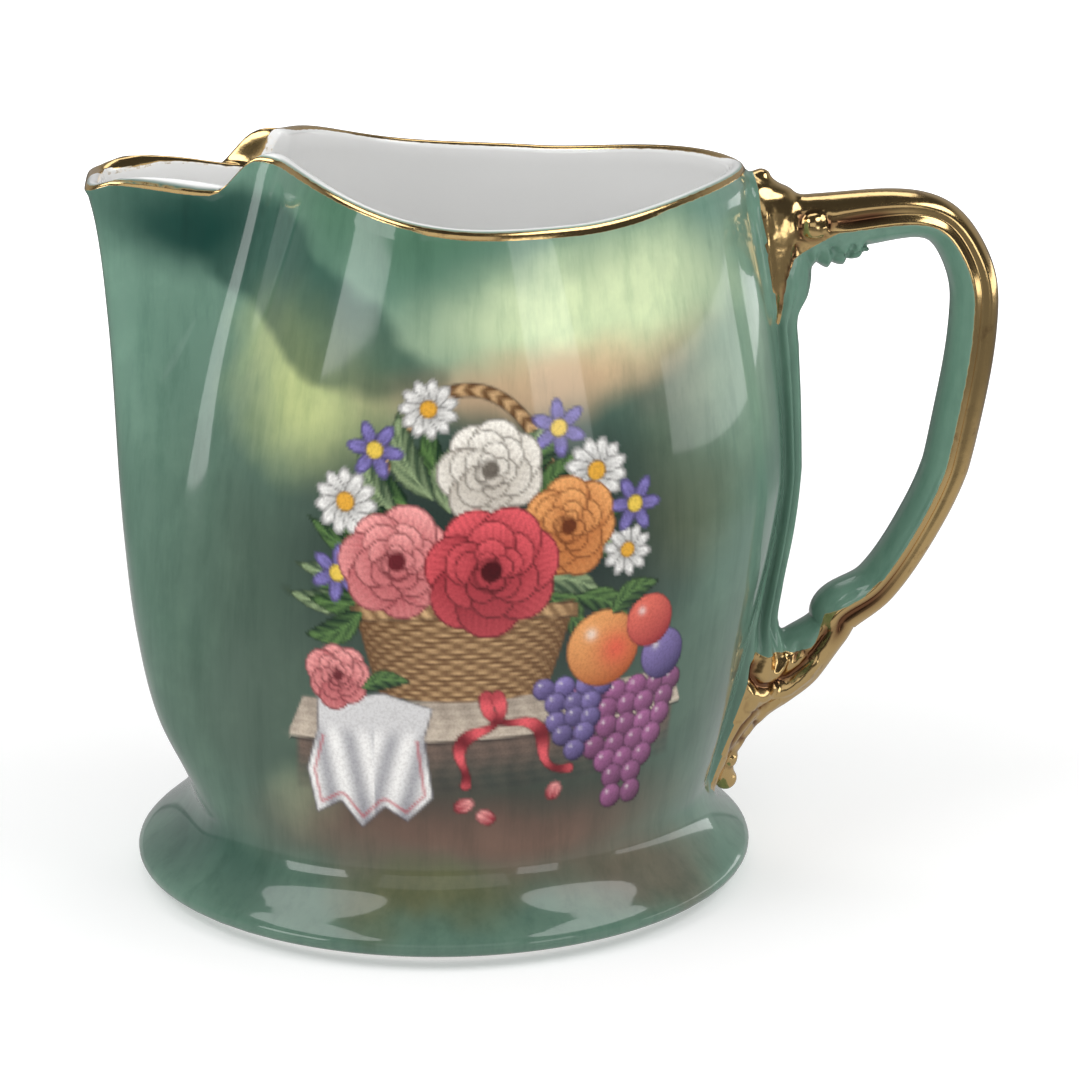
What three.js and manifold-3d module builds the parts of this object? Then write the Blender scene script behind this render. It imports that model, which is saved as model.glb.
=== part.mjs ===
// Porcelain cream pitcher: a round spreading foot, an oval body pinched behind a channelled
// spout, a dipping rim, and a handle cast in one with the body, with a fluted stem down its side.
// Millimetres, +Z up. The spout points to -X and the handle to +X, and the pitcher stands on
// z = 0 with the middle of its box over the origin.

import * as THREE from "three";
import { mergeVertices } from "three/addons/utils/BufferGeometryUtils.js";
import Module from "manifold-3d";

const wasm = await Module();
wasm.setup();

// Heights above the table
const neckHeight = 12.5;
const rimHeight = 96.9;
const bellyHeight = 56;
const floorHeight = 8;
const floorHollow = 12;

// Foot, measured from its own axis, which is x = 0 and y = 0 while the pitcher is modelled
const footRadius = 43.5;
const footEdge = 5;
const footTuck = 5;
const edgeShoulder = 1.6;
const flareHollow = 2;
const standingWidth = 5;
const recessDepth = 3.5;

// Walls
const wall = 3;
const rimWall = 2.2;
const thinningShare = 0.7;

// Body: reaches from the foot axis along X, and half-depth along Y
const bellyReach = 47.6;
const rimReach = 41.8;
const neckReach = 37.6;
const upperSwell = 1.7;
const lowerSwell = 1.3;
const rimHalfDepth = 34.9;
const bellyHalfDepth = 38.5;
const neckHalfDepth = 36.8;
const mouthMiddle = 2;
const frontSquareness = 2.1;
const rimFade = 4;

// Spout
const spoutReach = 47.7;
const spoutHalfWidth = 10.2;
const spoutSquareness = 7;
const joinSharpness = 8;

// Handle
const handleDepth = 6.9;
const handleWidth = 8.6;
const stemWidth = 9;
const stemProud = 3.4;
const stemSunk = 0.36;
const rootDepth = 1.5;
const tailWidth = 0.55;
const tailShare = 0.25;
const fluteDepth = 0.3;
const fluteCount = 9;
const knobRadius = 1.7;

// Leaf under the arm
const leafUp = 0.902;
const leafStart = 6.5;
const leafLength = 8.5;
const leafDepth = 6;
const leafWidth = 6.9;
const leafLobes = 3;
const lobeDepth = 0.14;

// Fineness of the facets
const ringPoints = 72;
const spacingSamples = 1440;
const armSteps = 44;
const stemSteps = 34;
const leafSteps = 12;
const barSides = 16;

const porcelain = new THREE.MeshStandardMaterial({ color: 0x4f8068, roughness: 0.2, metalness: 0 });

// A smooth curve through rows of [position, value, value, ...]
function curveThrough(rows) {
  const size = rows[0].length - 1;
  const positions = rows.map((row) => row[0]);
  const values = rows.flatMap((row) => row.slice(1));
  const curve = new THREE.CubicInterpolant(positions, values, size, new Float32Array(size));
  return (position) => Array.from(curve.evaluate(position));
}

function smooth(share) {
  return THREE.MathUtils.smoothstep(share, 0, 1);
}

// Rim: heights over the lowest point of the rim, from the spout's tip to the handle, given at
// shares of the reach on each side of the foot axis. Each turning point is level, and leaning
// makes the rim lift late and fast towards the shoulder behind the pinch.
const rimTurns = [
  { share: -1.0, lift: 2.0, lean: 1 },
  { share: -0.92, lift: 3.1, lean: 1 },
  { share: -0.65, lift: 1.7, lean: 1 },
  { share: -0.52, lift: 6.3, lean: 1 },
  { share: 0.38, lift: 0, lean: 0.45 },
  { share: 1.0, lift: 2.5, lean: 1 },
];

function rimLift(x) {
  const reach = x < 0 ? spoutReach : rimReach;
  const share = THREE.MathUtils.clamp(x / reach, -1, 1);
  const next = Math.max(1, rimTurns.findIndex((turn) => turn.share >= share));
  const low = rimTurns[next - 1];
  const high = rimTurns[next];
  const along = (share - low.share) / (high.share - low.share);
  const eased = 1 - smooth(Math.pow(1 - along, 1 / high.lean));
  return THREE.MathUtils.lerp(low.lift, high.lift, THREE.MathUtils.clamp(eased, 0, 1));
}

// Side of the body under the handle: how far it reaches from the foot axis at a height
function sideReach(height) {
  const above = height > bellyHeight;
  const span = above ? rimHeight - bellyHeight : bellyHeight - neckHeight;
  const fall = above ? bellyReach - rimReach : bellyReach - neckReach;
  const swell = above ? upperSwell : lowerSwell;
  return bellyReach - fall * Math.pow(Math.abs(height - bellyHeight) / span, swell);
}

// Front of the pitcher down the spout, as shares of the spout's reach, by share of height
const frontProfile = curveThrough([
  [0, 0.748], [0.05, 0.776], [0.15, 0.85], [0.29, 0.898], [0.45, 0.923],
  [0.8, 0.948], [0.94, 0.974], [1, 1],
]);

// Body behind the pinch, as shares of the front's reach: pinched in at the rim, round below
const pinchProfile = curveThrough([
  [0, 0.975], [0.3, 0.86], [0.5, 0.79], [0.7, 0.7], [0.88, 0.575], [1, 0.484],
]);

// Half-width of the spout, as shares of that at the rim
const spoutWidening = curveThrough([[0, 1.9], [0.35, 1.7], [0.6, 1.42], [0.8, 1.14], [1, 1]]);

// Half-depth of the body along Y
const depthProfile = curveThrough([
  [0, neckHalfDepth], [0.45, bellyHalfDepth], [1, rimHalfDepth],
]);

// Squareness of the body's section on the handle's side, where the rim narrows like an egg
const eggProfile = curveThrough([[0, 2], [0.6, 1.95], [1, 1.7]]);

function superellipse(angle, reach, halfWidth, squareness) {
  const across = Math.pow(Math.abs(Math.cos(angle)) / reach, squareness);
  const aside = Math.pow(Math.abs(Math.sin(angle)) / halfWidth, squareness);
  return Math.pow(across + aside, -1 / squareness);
}

// One point of the body's section at a share of the height from neck to rim, moved in by inset
function sectionPoint(angle, share, inset) {
  const height = THREE.MathUtils.lerp(neckHeight, rimHeight, share);
  const middle = mouthMiddle * share;
  const front = frontProfile(share)[0] * spoutReach;
  const pinch = pinchProfile(share)[0] * front;
  const halfDepth = depthProfile(share)[0] - inset;
  const behind = Math.cos(angle) > 0;
  const bodyReach = behind ? sideReach(height) - middle : pinch + middle;
  const squareness = behind ? eggProfile(share)[0] : frontSquareness;
  const body = superellipse(angle, bodyReach - inset, halfDepth, squareness);
  const whole = front + middle;
  const rest = Math.pow(whole, joinSharpness) - Math.pow(bodyReach, joinSharpness);
  const spoutLength = behind ? 0 : Math.pow(Math.max(rest, 0), 1 / joinSharpness) - inset;
  const spoutHalf = spoutWidening(share)[0] * spoutHalfWidth - inset;
  const spout = spoutLength > 0 ? superellipse(angle, spoutLength, spoutHalf, spoutSquareness) : 0;
  const radius = Math.pow(
    Math.pow(body, joinSharpness) + Math.pow(spout, joinSharpness),
    1 / joinSharpness,
  );
  return new THREE.Vector2(middle + radius * Math.cos(angle), radius * Math.sin(angle));
}

// Angles that space a ring's points evenly along the rim
function ringAngles() {
  const angles = [0];
  const lengths = [0];
  let last = sectionPoint(0, 1, 0);
  for (let i = 1; i <= spacingSamples; i += 1) {
    const angle = (2 * Math.PI * i) / spacingSamples;
    const point = sectionPoint(angle, 1, 0);
    lengths.push(lengths[i - 1] + point.distanceTo(last));
    angles.push(angle);
    last = point;
  }
  const total = lengths[spacingSamples];
  return Array.from({ length: ringPoints }, (_, i) => {
    const wanted = (total * i) / ringPoints;
    const next = Math.max(1, lengths.findIndex((length) => length >= wanted));
    const along = (wanted - lengths[next - 1]) / (lengths[next] - lengths[next - 1]);
    return THREE.MathUtils.lerp(angles[next - 1], angles[next], along);
  });
}

const angles = ringAngles();
const rimLifts = angles.map((angle) => rimLift(sectionPoint(angle, 1, 0).x));

function roundRing(radius, height) {
  return angles.map(
    (angle) => new THREE.Vector3(radius * Math.cos(angle), radius * Math.sin(angle), height),
  );
}

// The rim's rise and fall fades out down the body
function bodyRing(share, inset, drop = 0) {
  const height = THREE.MathUtils.lerp(neckHeight, rimHeight, share) - drop;
  const fade = Math.pow(share, rimFade);
  return angles.map((angle, i) => {
    const point = sectionPoint(angle, share, inset);
    return new THREE.Vector3(point.x, point.y, height + rimLifts[i] * fade);
  });
}

// A closed solid from rings of points, with a fan of triangles over the first and the last
function solidFromRings(rings, firstPole, lastPole) {
  const count = rings[0].length;
  const points = [...rings.flat(), firstPole, lastPole];
  const firstIndex = points.length - 2;
  const lastIndex = points.length - 1;
  const faces = [];
  for (let i = 0; i < count; i += 1) {
    const next = (i + 1) % count;
    faces.push(firstIndex, next, i);
    for (let level = 0; level + 1 < rings.length; level += 1) {
      const low = level * count;
      const high = low + count;
      faces.push(low + i, low + next, high + next, low + i, high + next, high + i);
    }
    const top = (rings.length - 1) * count;
    faces.push(lastIndex, top + i, top + next);
  }
  const geometry = new THREE.BufferGeometry();
  geometry.setAttribute(
    "position",
    new THREE.Float32BufferAttribute(points.flatMap((point) => point.toArray()), 3),
  );
  geometry.setIndex(faces);
  return solidFromGeometry(geometry);
}

function solidFromGeometry(geometry) {
  geometry.deleteAttribute("normal");
  geometry.deleteAttribute("uv");
  const merged = mergeVertices(geometry);
  return new wasm.Manifold(new wasm.Mesh({
    numProp: 3,
    vertProperties: new Float32Array(merged.attributes.position.array),
    triVerts: new Uint32Array(merged.index.array),
  }));
}

function geometryFromSolid(solid) {
  const mesh = solid.getMesh();
  const geometry = new THREE.BufferGeometry();
  geometry.setAttribute("position", new THREE.BufferAttribute(mesh.vertProperties, 3));
  geometry.setIndex(new THREE.BufferAttribute(mesh.triVerts, 1));
  geometry.computeVertexNormals();
  return geometry;
}

// Vessel: underside, foot, body, rolled lip and inside in one skin
function vessel() {
  const standingRadius = footRadius - footTuck;
  const recessRadius = standingRadius - standingWidth;
  const underside = [
    roundRing(recessRadius - recessDepth, recessDepth),
    roundRing(recessRadius - recessDepth * 0.2, recessDepth * 0.25),
    roundRing(recessRadius, 0),
    roundRing(standingRadius, 0),
  ];
  const edge = [
    { inward: footTuck * 0.5, up: 0.2 }, { inward: footTuck * 0.12, up: 0.36 },
    { inward: 0, up: 0.5 }, { inward: edgeShoulder * 0.12, up: 0.75 }, { inward: edgeShoulder, up: 1 },
  ].map(({ inward, up }) => roundRing(footRadius - inward, footEdge * up));
  const flare = [0.25, 0.5, 0.8].map((share) => {
    const hollow = Math.pow(1 - share, flareHollow);
    const height = THREE.MathUtils.lerp(footEdge, neckHeight, share);
    return bodyRing(0, 0).map((point) => {
      const side = Math.hypot(point.x, point.y);
      const radius = THREE.MathUtils.lerp(side, footRadius - edgeShoulder, hollow);
      return new THREE.Vector3((point.x * radius) / side, (point.y * radius) / side, height);
    });
  });
  const outsideShares = [0, 0.06, 0.13, 0.22, 0.33, 0.45, 0.57, 0.68, 0.78, 0.87, 0.94];
  const outside = outsideShares.map((share) => bodyRing(share, 0));
  const roll = rimWall / 2;
  const lip = [0, 45, 90, 135, 180].map((degrees) => {
    const turn = THREE.MathUtils.degToRad(degrees);
    return bodyRing(1, roll * (1 - Math.cos(turn)), roll * (1 - Math.sin(turn)));
  });
  const insideShares = [0.93, 0.84, 0.74, 0.62, 0.5, 0.37, 0.25, 0.14, 0.05];
  const inside = insideShares.map((share) => {
    const thinning = smooth((share - thinningShare) / (1 - thinningShare));
    return bodyRing(share, THREE.MathUtils.lerp(wall, rimWall, thinning));
  });
  const floorRise = neckHeight - floorHeight;
  const floor = [0.95, 0.85, 0.6].map((share) => bodyRing(0, wall).map((point) => {
    const rise = floorRise * Math.pow(share, floorHollow);
    return new THREE.Vector3(point.x * share, point.y * share, floorHeight + rise);
  }));
  return solidFromRings(
    [...underside, ...edge, ...flare, ...outside, ...lip, ...inside, ...floor],
    new THREE.Vector3(0, 0, recessDepth),
    new THREE.Vector3(0, 0, floorHeight),
  );
}

// A bar bent in the plane y = 0: a station gives the middle, the half-depth in front of it and
// behind it, and the half-width along Y. Flutes are shallow waves round the section.
function bar(stationAt, steps, flutes = 0) {
  const stations = Array.from({ length: steps + 1 }, (_, i) => stationAt(i / steps));
  const rings = stations.map((station, i) => {
    const before = stations[Math.max(0, i - 1)];
    const after = stations[Math.min(steps, i + 1)];
    const along = new THREE.Vector2(after.x - before.x, after.z - before.z).normalize();
    const outward = new THREE.Vector2(along.y, -along.x);
    return Array.from({ length: barSides }, (_, side) => {
      const angle = (2 * Math.PI * side) / barSides;
      const depth = Math.cos(angle) > 0 ? station.front : station.back;
      const flute = 1 + (flutes * Math.cos(fluteCount * angle)) / station.front;
      const out = depth * Math.cos(angle) * flute;
      return new THREE.Vector3(
        station.x + outward.x * out,
        station.halfWidth * Math.sin(angle) * flute,
        station.z + outward.y * out,
      );
    });
  });
  const pole = (station) => new THREE.Vector3(station.x, 0, station.z);
  return solidFromRings(rings, pole(stations[0]), pole(stations[steps]));
}

// Arm of the handle from its scrolled foot up to the rim, by distance out from the body's side
// and height as a share of the rim's, with its depth as a share of the handle's
const armCurve = curveThrough([
  [0.00, 2.8, 0.105, 0.45], [0.05, 2.3, 0.155, 0.56], [0.10, 3.8, 0.212, 0.8],
  [0.15, 5.9, 0.254, 1.2], [0.19, 8.3, 0.287, 1.3], [0.24, 11.7, 0.332, 0.92],
  [0.28, 12.4, 0.36, 1.06], [0.34, 17.0, 0.4, 0.92], [0.43, 21.7, 0.512, 0.92],
  [0.54, 25.1, 0.648, 0.98], [0.65, 28.4, 0.785, 0.98], [0.72, 29.2, 0.86, 0.95],
  [0.78, 26.9, 0.928, 0.87], [0.82, 24.0, 0.945, 0.9], [0.88, 18.5, 0.946, 1.05],
  [0.94, 11.5, 0.937, 1.18], [1.00, 1.7, 0.93, 1.22],
]);

function armStation(share) {
  const [out, up, depth] = armCurve(share);
  const height = up * rimHeight;
  const half = (handleDepth / 2) * depth;
  return {
    x: sideReach(height) + out,
    z: height,
    front: half,
    back: half,
    halfWidth: (handleWidth / 2) * THREE.MathUtils.lerp(tailWidth, 1, smooth(share / tailShare)),
  };
}

// Stem up the body's side, from the spreading root under the arm to the bracket at the rim, by
// height as a share of the rim's: how proud it stands and how wide it is, against the plain stem
const stemCurve = curveThrough([
  [0.09, 0.8, 1.3], [0.135, 0.85, 1.4], [0.186, 1.1, 1.6], [0.237, 1.7, 1.75],
  [0.289, 2.15, 1.8], [0.325, 1.95, 1.8], [0.361, 1.3, 1.75], [0.413, 1.1, 1.6],
  [0.495, 1.08, 1.3], [0.6, 1.0, 1.0], [0.68, 1.06, 0.95], [0.75, 1.16, 0.95],
  [0.795, 1.3, 1.0], [0.821, 1.8, 1.05], [0.877, 2.2, 1.1], [0.93, 2.2, 1.12],
  [0.97, 1.9, 1.1], [0.984, 1.4, 1.0], [1.01, 0.9, 0.75],
]);

function stemStation(share) {
  const up = THREE.MathUtils.lerp(0.09, 1.01, share);
  const [proud, width] = stemCurve(up);
  const height = up * rimHeight;
  return {
    x: sideReach(height) - stemSunk,
    z: height,
    front: stemProud * proud,
    back: Math.min(rootDepth, wall / 2),
    halfWidth: (stemWidth / 2) * width,
  };
}

// Curled and lobed leaf under the arm where it leaves the stem
function leafStation(share) {
  const height = leafUp * rimHeight;
  const lobe = 1 + lobeDepth * Math.cos(2 * Math.PI * leafLobes * share);
  const swelling = Math.sin(Math.PI * THREE.MathUtils.lerp(0.2, 0.92, share));
  const half = (leafDepth / 2) * swelling * lobe;
  return {
    x: sideReach(height) + leafStart + leafLength * share,
    z: height,
    front: half,
    back: half,
    halfWidth: (leafWidth / 2) * lobe,
  };
}

function knob(out, up) {
  const height = up * rimHeight;
  const ball = new THREE.SphereGeometry(knobRadius, 12, 8);
  ball.translate(sideReach(height) + out, 0, height);
  return solidFromGeometry(ball);
}

function handle() {
  const topKnob = knob(2.2, 0.997);
  const footKnob = knob(3.6, 0.103);
  return bar(armStation, armSteps)
    .add(bar(stemStation, stemSteps, fluteDepth))
    .add(bar(leafStation, leafSteps))
    .add(topKnob)
    .add(footKnob);
}

const geometry = geometryFromSolid(vessel().add(handle()));
geometry.computeBoundingBox();
const middle = geometry.boundingBox.getCenter(new THREE.Vector3());

const pitcher = new THREE.Mesh(geometry, porcelain);
pitcher.name = "pitcher";
pitcher.position.set(-middle.x, -middle.y, 0);

const group = new THREE.Group();
group.add(pitcher);

export default group;
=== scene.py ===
"""Cream pitcher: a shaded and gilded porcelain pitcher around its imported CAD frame.

The shapes repeat the rules of the CAD part in finer facets. Shapes are worked out in
millimetres about the foot's own axis, and a mesh is written in metres in the row frame.
"""

import math

import bmesh
import bpy
import numpy as np
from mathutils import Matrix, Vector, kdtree


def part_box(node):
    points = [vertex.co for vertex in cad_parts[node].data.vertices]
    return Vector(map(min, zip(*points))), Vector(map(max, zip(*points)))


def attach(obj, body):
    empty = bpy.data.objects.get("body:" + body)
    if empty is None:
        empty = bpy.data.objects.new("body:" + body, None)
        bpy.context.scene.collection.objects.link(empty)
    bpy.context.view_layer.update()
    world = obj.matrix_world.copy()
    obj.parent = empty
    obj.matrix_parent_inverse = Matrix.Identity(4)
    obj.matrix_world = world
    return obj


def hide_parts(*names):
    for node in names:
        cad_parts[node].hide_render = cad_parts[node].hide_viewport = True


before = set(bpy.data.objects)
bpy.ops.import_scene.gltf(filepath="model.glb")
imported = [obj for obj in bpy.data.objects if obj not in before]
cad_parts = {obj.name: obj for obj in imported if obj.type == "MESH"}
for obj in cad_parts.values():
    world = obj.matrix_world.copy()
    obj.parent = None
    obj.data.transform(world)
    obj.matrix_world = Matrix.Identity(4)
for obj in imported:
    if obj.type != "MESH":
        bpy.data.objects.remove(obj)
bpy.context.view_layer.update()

bl_info = {
    "name": "Cream pitcher",
    "version": (1, 0, 0),
    "blender": (4, 5, 0),
    "location": "3D View > Sidebar > Pitcher",
    "description": "Builds a shaded and gilded porcelain cream pitcher",
    "category": "Object",
}

MM = 0.001
# Corners of a joined skin closer than this many millimetres are one corner
SLIVER = 0.001
# Millimetres from the foot's axis to the handle's furthest point
HANDLE_END = 77.6
FOOT_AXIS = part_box("pitcher")[1].x / MM - HANDLE_END


def length_property(name, description, default, **more):
    """A length in metres that a user can change"""
    return bpy.props.FloatProperty(
        name=name, description=description, default=default, subtype="DISTANCE",
        unit="LENGTH", **more)


def colour_property(name, description, default):
    """A colour that a user can change, as linear red, green and blue"""
    return bpy.props.FloatVectorProperty(
        name=name, description=description, default=default, size=3, min=0, max=1,
        subtype="COLOR")


class PitcherSizes(bpy.types.PropertyGroup):
    """Sizes of the pitcher. The defaults are those of the CAD part."""

    rim_height: length_property("Rim height", "Lowest point of the rim over the table", 0.0969)
    foot_radius: length_property("Foot radius", "Radius of the round foot", 0.0435)
    wall: length_property("Wall", "Thickness of the porcelain below the rim", 0.003)
    rim_wall: length_property("Rim wall", "Thickness of the porcelain at the rim", 0.0022)
    spout_reach: length_property("Spout reach", "Tip of the spout from the foot's axis", 0.0477)
    spout_half_width: length_property(
        "Spout half width", "Half of the spout's width at the rim", 0.0102)
    handle_depth: length_property(
        "Handle depth", "Depth of the handle's arm seen from the side", 0.0069)
    handle_width: length_property(
        "Handle width", "Width of the handle's arm seen from behind", 0.0086)
    flute_depth: length_property(
        "Flute depth", "Depth of the flutes down the handle's stem", 0.0006)
    picture_grain: length_property(
        "Picture grain", "Facet size under the painted picture", 0.00033, precision=5)
    plain_grain: length_property(
        "Plain grain", "Facet size of the plain surfaces", 0.0015, precision=5)


class PitcherColours(bpy.types.PropertyGroup):
    """Colours of the glaze, the gilding and the shaded ground."""

    green: colour_property("Green", "Middle green of the ground", (0.13, 0.24, 0.18))
    # Teal also paints the band of shade across the shoulder by the spout
    teal: colour_property("Teal", "Dark teal on the spout", (0.004, 0.045, 0.034))
    deep: colour_property("Deep", "Dark grey green behind the picture", (0.02, 0.034, 0.028))
    shade: colour_property("Shade", "Grey green on the left and low down", (0.06, 0.1, 0.072))
    moss: colour_property("Moss", "Deep green below the rim", (0.06, 0.15, 0.09))
    lime: colour_property("Lime", "Yellow green glow by the spout", (0.44, 0.5, 0.22))
    mint: colour_property("Mint", "Pale glow below the rim", (0.56, 0.66, 0.4))
    peach: colour_property("Peach", "Warm glow below the mint", (0.56, 0.37, 0.22))
    earth: colour_property("Earth", "Brown ground under the picture", (0.16, 0.095, 0.068))
    olive: colour_property("Olive", "Olive patches on the foot", (0.11, 0.115, 0.055))
    white: colour_property("White", "Clear-glazed porcelain", (0.9, 0.9, 0.89))
    bisque: colour_property("Bisque", "Bare porcelain under the foot", (0.78, 0.76, 0.71))
    gold: colour_property("Gold", "Burnished gold", (0.86, 0.6, 0.27))
    # This colour also paints the shade in the gold's hollows near the body
    worn_and_shaded_gold: colour_property("Worn gold", "Gold where it is thin", (0.26, 0.12, 0.06))


def side_by_side(*values):
    """Joins arrays of one number each into an array of points or rows"""
    return np.stack(np.broadcast_arrays(*values), axis=-1)


def smooth(share):
    share = np.clip(share, 0, 1)
    return share * share * (3 - 2 * share)


def mix(low, high, share):
    return low + (high - low) * share


def curve_through(rows):
    """A smooth curve through rows of (position, value, value, ...), as in the CAD part"""
    table = np.array(rows, float)
    places = table[:, 0]
    values = table[:, 1:]

    def curve(position):
        position = np.clip(np.asarray(position, float), places[0], places[-1])
        after = np.clip(np.searchsorted(places, position, side="right"), 1, len(places) - 1)
        before = after - 1
        first = before == 0
        last = after == len(places) - 1
        earlier = np.where(first, after, before - 1)
        later = np.where(last, before, after + 1)
        start = places[before]
        end = places[after]
        half = (end - start) / 2
        pull = half / np.where(first, start - end, start - places[earlier])
        push = half / np.where(last, start - end, places[later] - end)
        p = (position - start) / (end - start)
        weights = (
            (earlier, -pull * p**3 + 2 * pull * p**2 - pull * p),
            (before, (1 + pull) * p**3 - (1.5 + 2 * pull) * p**2 + (pull - 0.5) * p + 1),
            (after, (1.5 + push) * p**2 - (1 + push) * p**3 + 0.5 * p),
            (later, push * p**3 - push * p**2),
        )
        return sum(values[index] * weight[..., None] for index, weight in weights)

    return curve


# Heights over the table and sizes about the foot's axis that the panel doesn't offer
NECK_HEIGHT = 12.5
BELLY_HEIGHT = 56
FLOOR_HEIGHT = 8
FLOOR_HOLLOW = 12
FOOT_EDGE = 5
FOOT_TUCK = 5
EDGE_SHOULDER = 1.6
FLARE_HOLLOW = 2
STANDING_WIDTH = 5
RECESS_DEPTH = 3.5
BELLY_REACH = 47.6
RIM_REACH = 41.8
NECK_REACH = 37.6
UPPER_SWELL = 1.7
LOWER_SWELL = 1.3
RIM_HALF_DEPTH = 34.9
BELLY_HALF_DEPTH = 38.5
NECK_HALF_DEPTH = 36.8
MOUTH_MIDDLE = 2
FRONT_SQUARENESS = 2.1
RIM_FADE = 4
SPOUT_SQUARENESS = 7
JOIN_SHARPNESS = 8
STEM_WIDTH = 9
STEM_PROUD = 3.4
STEM_SUNK = 0.36
THINNING_SHARE = 0.7

# Rim's rise over its lowest point, at shares of the reach on each side of the axis, with how
# late and fast it rises to the next place
RIM_SHARES = np.array([-1.0, -0.92, -0.65, -0.52, 0.38, 1.0])
RIM_RISES = np.array([2.0, 3.1, 1.7, 6.3, 0, 2.5])
RIM_LEANS = np.array([1, 1, 1, 1, 0.45, 1])

front_profile = curve_through([
    (0, 0.748), (0.05, 0.776), (0.15, 0.85), (0.29, 0.898), (0.45, 0.923),
    (0.8, 0.948), (0.94, 0.974), (1, 1)])
pinch_profile = curve_through([
    (0, 0.975), (0.3, 0.86), (0.5, 0.79), (0.7, 0.7), (0.88, 0.575), (1, 0.484)])
spout_widening = curve_through([(0, 1.9), (0.35, 1.7), (0.6, 1.42), (0.8, 1.14), (1, 1)])
depth_profile = curve_through([
    (0, NECK_HALF_DEPTH), (0.45, BELLY_HALF_DEPTH), (1, RIM_HALF_DEPTH)])
egg_profile = curve_through([(0, 2), (0.6, 1.95), (1, 1.7)])

# Arm of the handle: distance out from the body's side, height as a share of the rim's, and
# depth as a share of the handle's
arm_curve = curve_through([
    (0.00, 2.8, 0.105, 0.45), (0.05, 2.3, 0.155, 0.56), (0.10, 3.8, 0.212, 0.8),
    (0.15, 5.9, 0.254, 1.2), (0.19, 8.3, 0.287, 1.3), (0.24, 11.7, 0.332, 0.92),
    (0.28, 12.4, 0.36, 1.06), (0.34, 17.0, 0.4, 0.92), (0.43, 21.7, 0.512, 0.92),
    (0.54, 25.1, 0.648, 0.98), (0.65, 28.4, 0.785, 0.98), (0.72, 29.2, 0.86, 0.95),
    (0.78, 26.9, 0.928, 0.87), (0.82, 24.0, 0.945, 0.9), (0.88, 18.5, 0.946, 1.05),
    (0.94, 11.5, 0.937, 1.18), (1.00, 1.7, 0.93, 1.22)])
TAIL_WIDTH = 0.55
TAIL_SHARE = 0.25

# Stem up the body's side: how proud it stands and how wide it is, by share of the rim's height
stem_curve = curve_through([
    (0.09, 0.8, 1.3), (0.135, 0.85, 1.4), (0.186, 1.1, 1.6), (0.237, 1.7, 1.75),
    (0.289, 2.15, 1.8), (0.325, 1.95, 1.8), (0.361, 1.3, 1.75), (0.413, 1.1, 1.6),
    (0.495, 1.08, 1.3), (0.6, 1.0, 1.0), (0.68, 1.06, 0.95), (0.75, 1.16, 0.95),
    (0.795, 1.3, 1.0), (0.821, 1.8, 1.05), (0.877, 2.2, 1.1), (0.93, 2.2, 1.12),
    (0.97, 1.9, 1.1), (0.984, 1.4, 1.0), (1.01, 0.9, 0.75)])
STEM_FOOT = 0.09
STEM_TOP = 1.01


class Form:
    """The pitcher's sizes and rules of shape, in millimetres about the foot's axis"""

    def __init__(self, sizes):
        for name in PitcherSizes.__annotations__:
            setattr(self, name, getattr(sizes, name) / MM)

    def rim_lift(self, x):
        reach = np.where(x < 0, self.spout_reach, RIM_REACH)
        share = np.clip(x / reach, -1, 1)
        after = np.clip(np.searchsorted(RIM_SHARES, share), 1, len(RIM_SHARES) - 1)
        low = RIM_SHARES[after - 1]
        along = (share - low) / (RIM_SHARES[after] - low)
        eased = 1 - smooth((1 - along) ** (1 / RIM_LEANS[after]))
        return mix(RIM_RISES[after - 1], RIM_RISES[after], eased)

    def side_reach(self, height):
        above = height > BELLY_HEIGHT
        span = np.where(above, self.rim_height - BELLY_HEIGHT, BELLY_HEIGHT - NECK_HEIGHT)
        fall = np.where(above, BELLY_REACH - RIM_REACH, BELLY_REACH - NECK_REACH)
        swell = np.where(above, UPPER_SWELL, LOWER_SWELL)
        return BELLY_REACH - fall * (np.abs(height - BELLY_HEIGHT) / span) ** swell

    def radius(self, angle, share, inset=0.0):
        """Distance of the body's surface from its middle, moved in by the inset"""
        height = mix(NECK_HEIGHT, self.rim_height, share)
        middle = MOUTH_MIDDLE * share
        front = front_profile(share)[..., 0] * self.spout_reach
        pinch = pinch_profile(share)[..., 0] * front
        half_depth = depth_profile(share)[..., 0] - inset
        cosine = np.cos(angle)
        sine = np.sin(angle)
        behind = cosine > 0
        reach = np.where(behind, self.side_reach(height) - middle, pinch + middle)
        power = np.where(behind, egg_profile(share)[..., 0], FRONT_SQUARENESS)
        body = ((np.abs(cosine) / (reach - inset)) ** power
                + (np.abs(sine) / half_depth) ** power) ** (-1 / power)
        rest = np.maximum((front + middle) ** JOIN_SHARPNESS - reach**JOIN_SHARPNESS, 0)
        length = rest ** (1 / JOIN_SHARPNESS) - inset
        usable = ~behind & (length > 0)
        length = np.where(usable, length, 1.0)
        spout_half = spout_widening(share)[..., 0] * self.spout_half_width - inset
        spout = ((np.abs(cosine) / length) ** SPOUT_SQUARENESS
                 + (np.abs(sine) / spout_half) ** SPOUT_SQUARENESS) ** (-1 / SPOUT_SQUARENESS)
        spout = np.where(usable, spout, 0)
        return (body**JOIN_SHARPNESS + spout**JOIN_SHARPNESS) ** (1 / JOIN_SHARPNESS)

    def ring(self, angles, share, inset=0.0, drop=0.0):
        """One ring of the body, which rises and falls with the rim near the top"""
        radius = self.radius(angles, np.full_like(angles, share), inset)
        x = MOUTH_MIDDLE * share + radius * np.cos(angles)
        y = radius * np.sin(angles)
        rim_x = MOUTH_MIDDLE + self.radius(angles, np.ones_like(angles)) * np.cos(angles)
        z = mix(NECK_HEIGHT, self.rim_height, share) - drop
        return side_by_side(x, y, z + self.rim_lift(rim_x) * share**RIM_FADE)

    def round_ring(self, angles, radius, height):
        return side_by_side(radius * np.cos(angles), radius * np.sin(angles), height)


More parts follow.
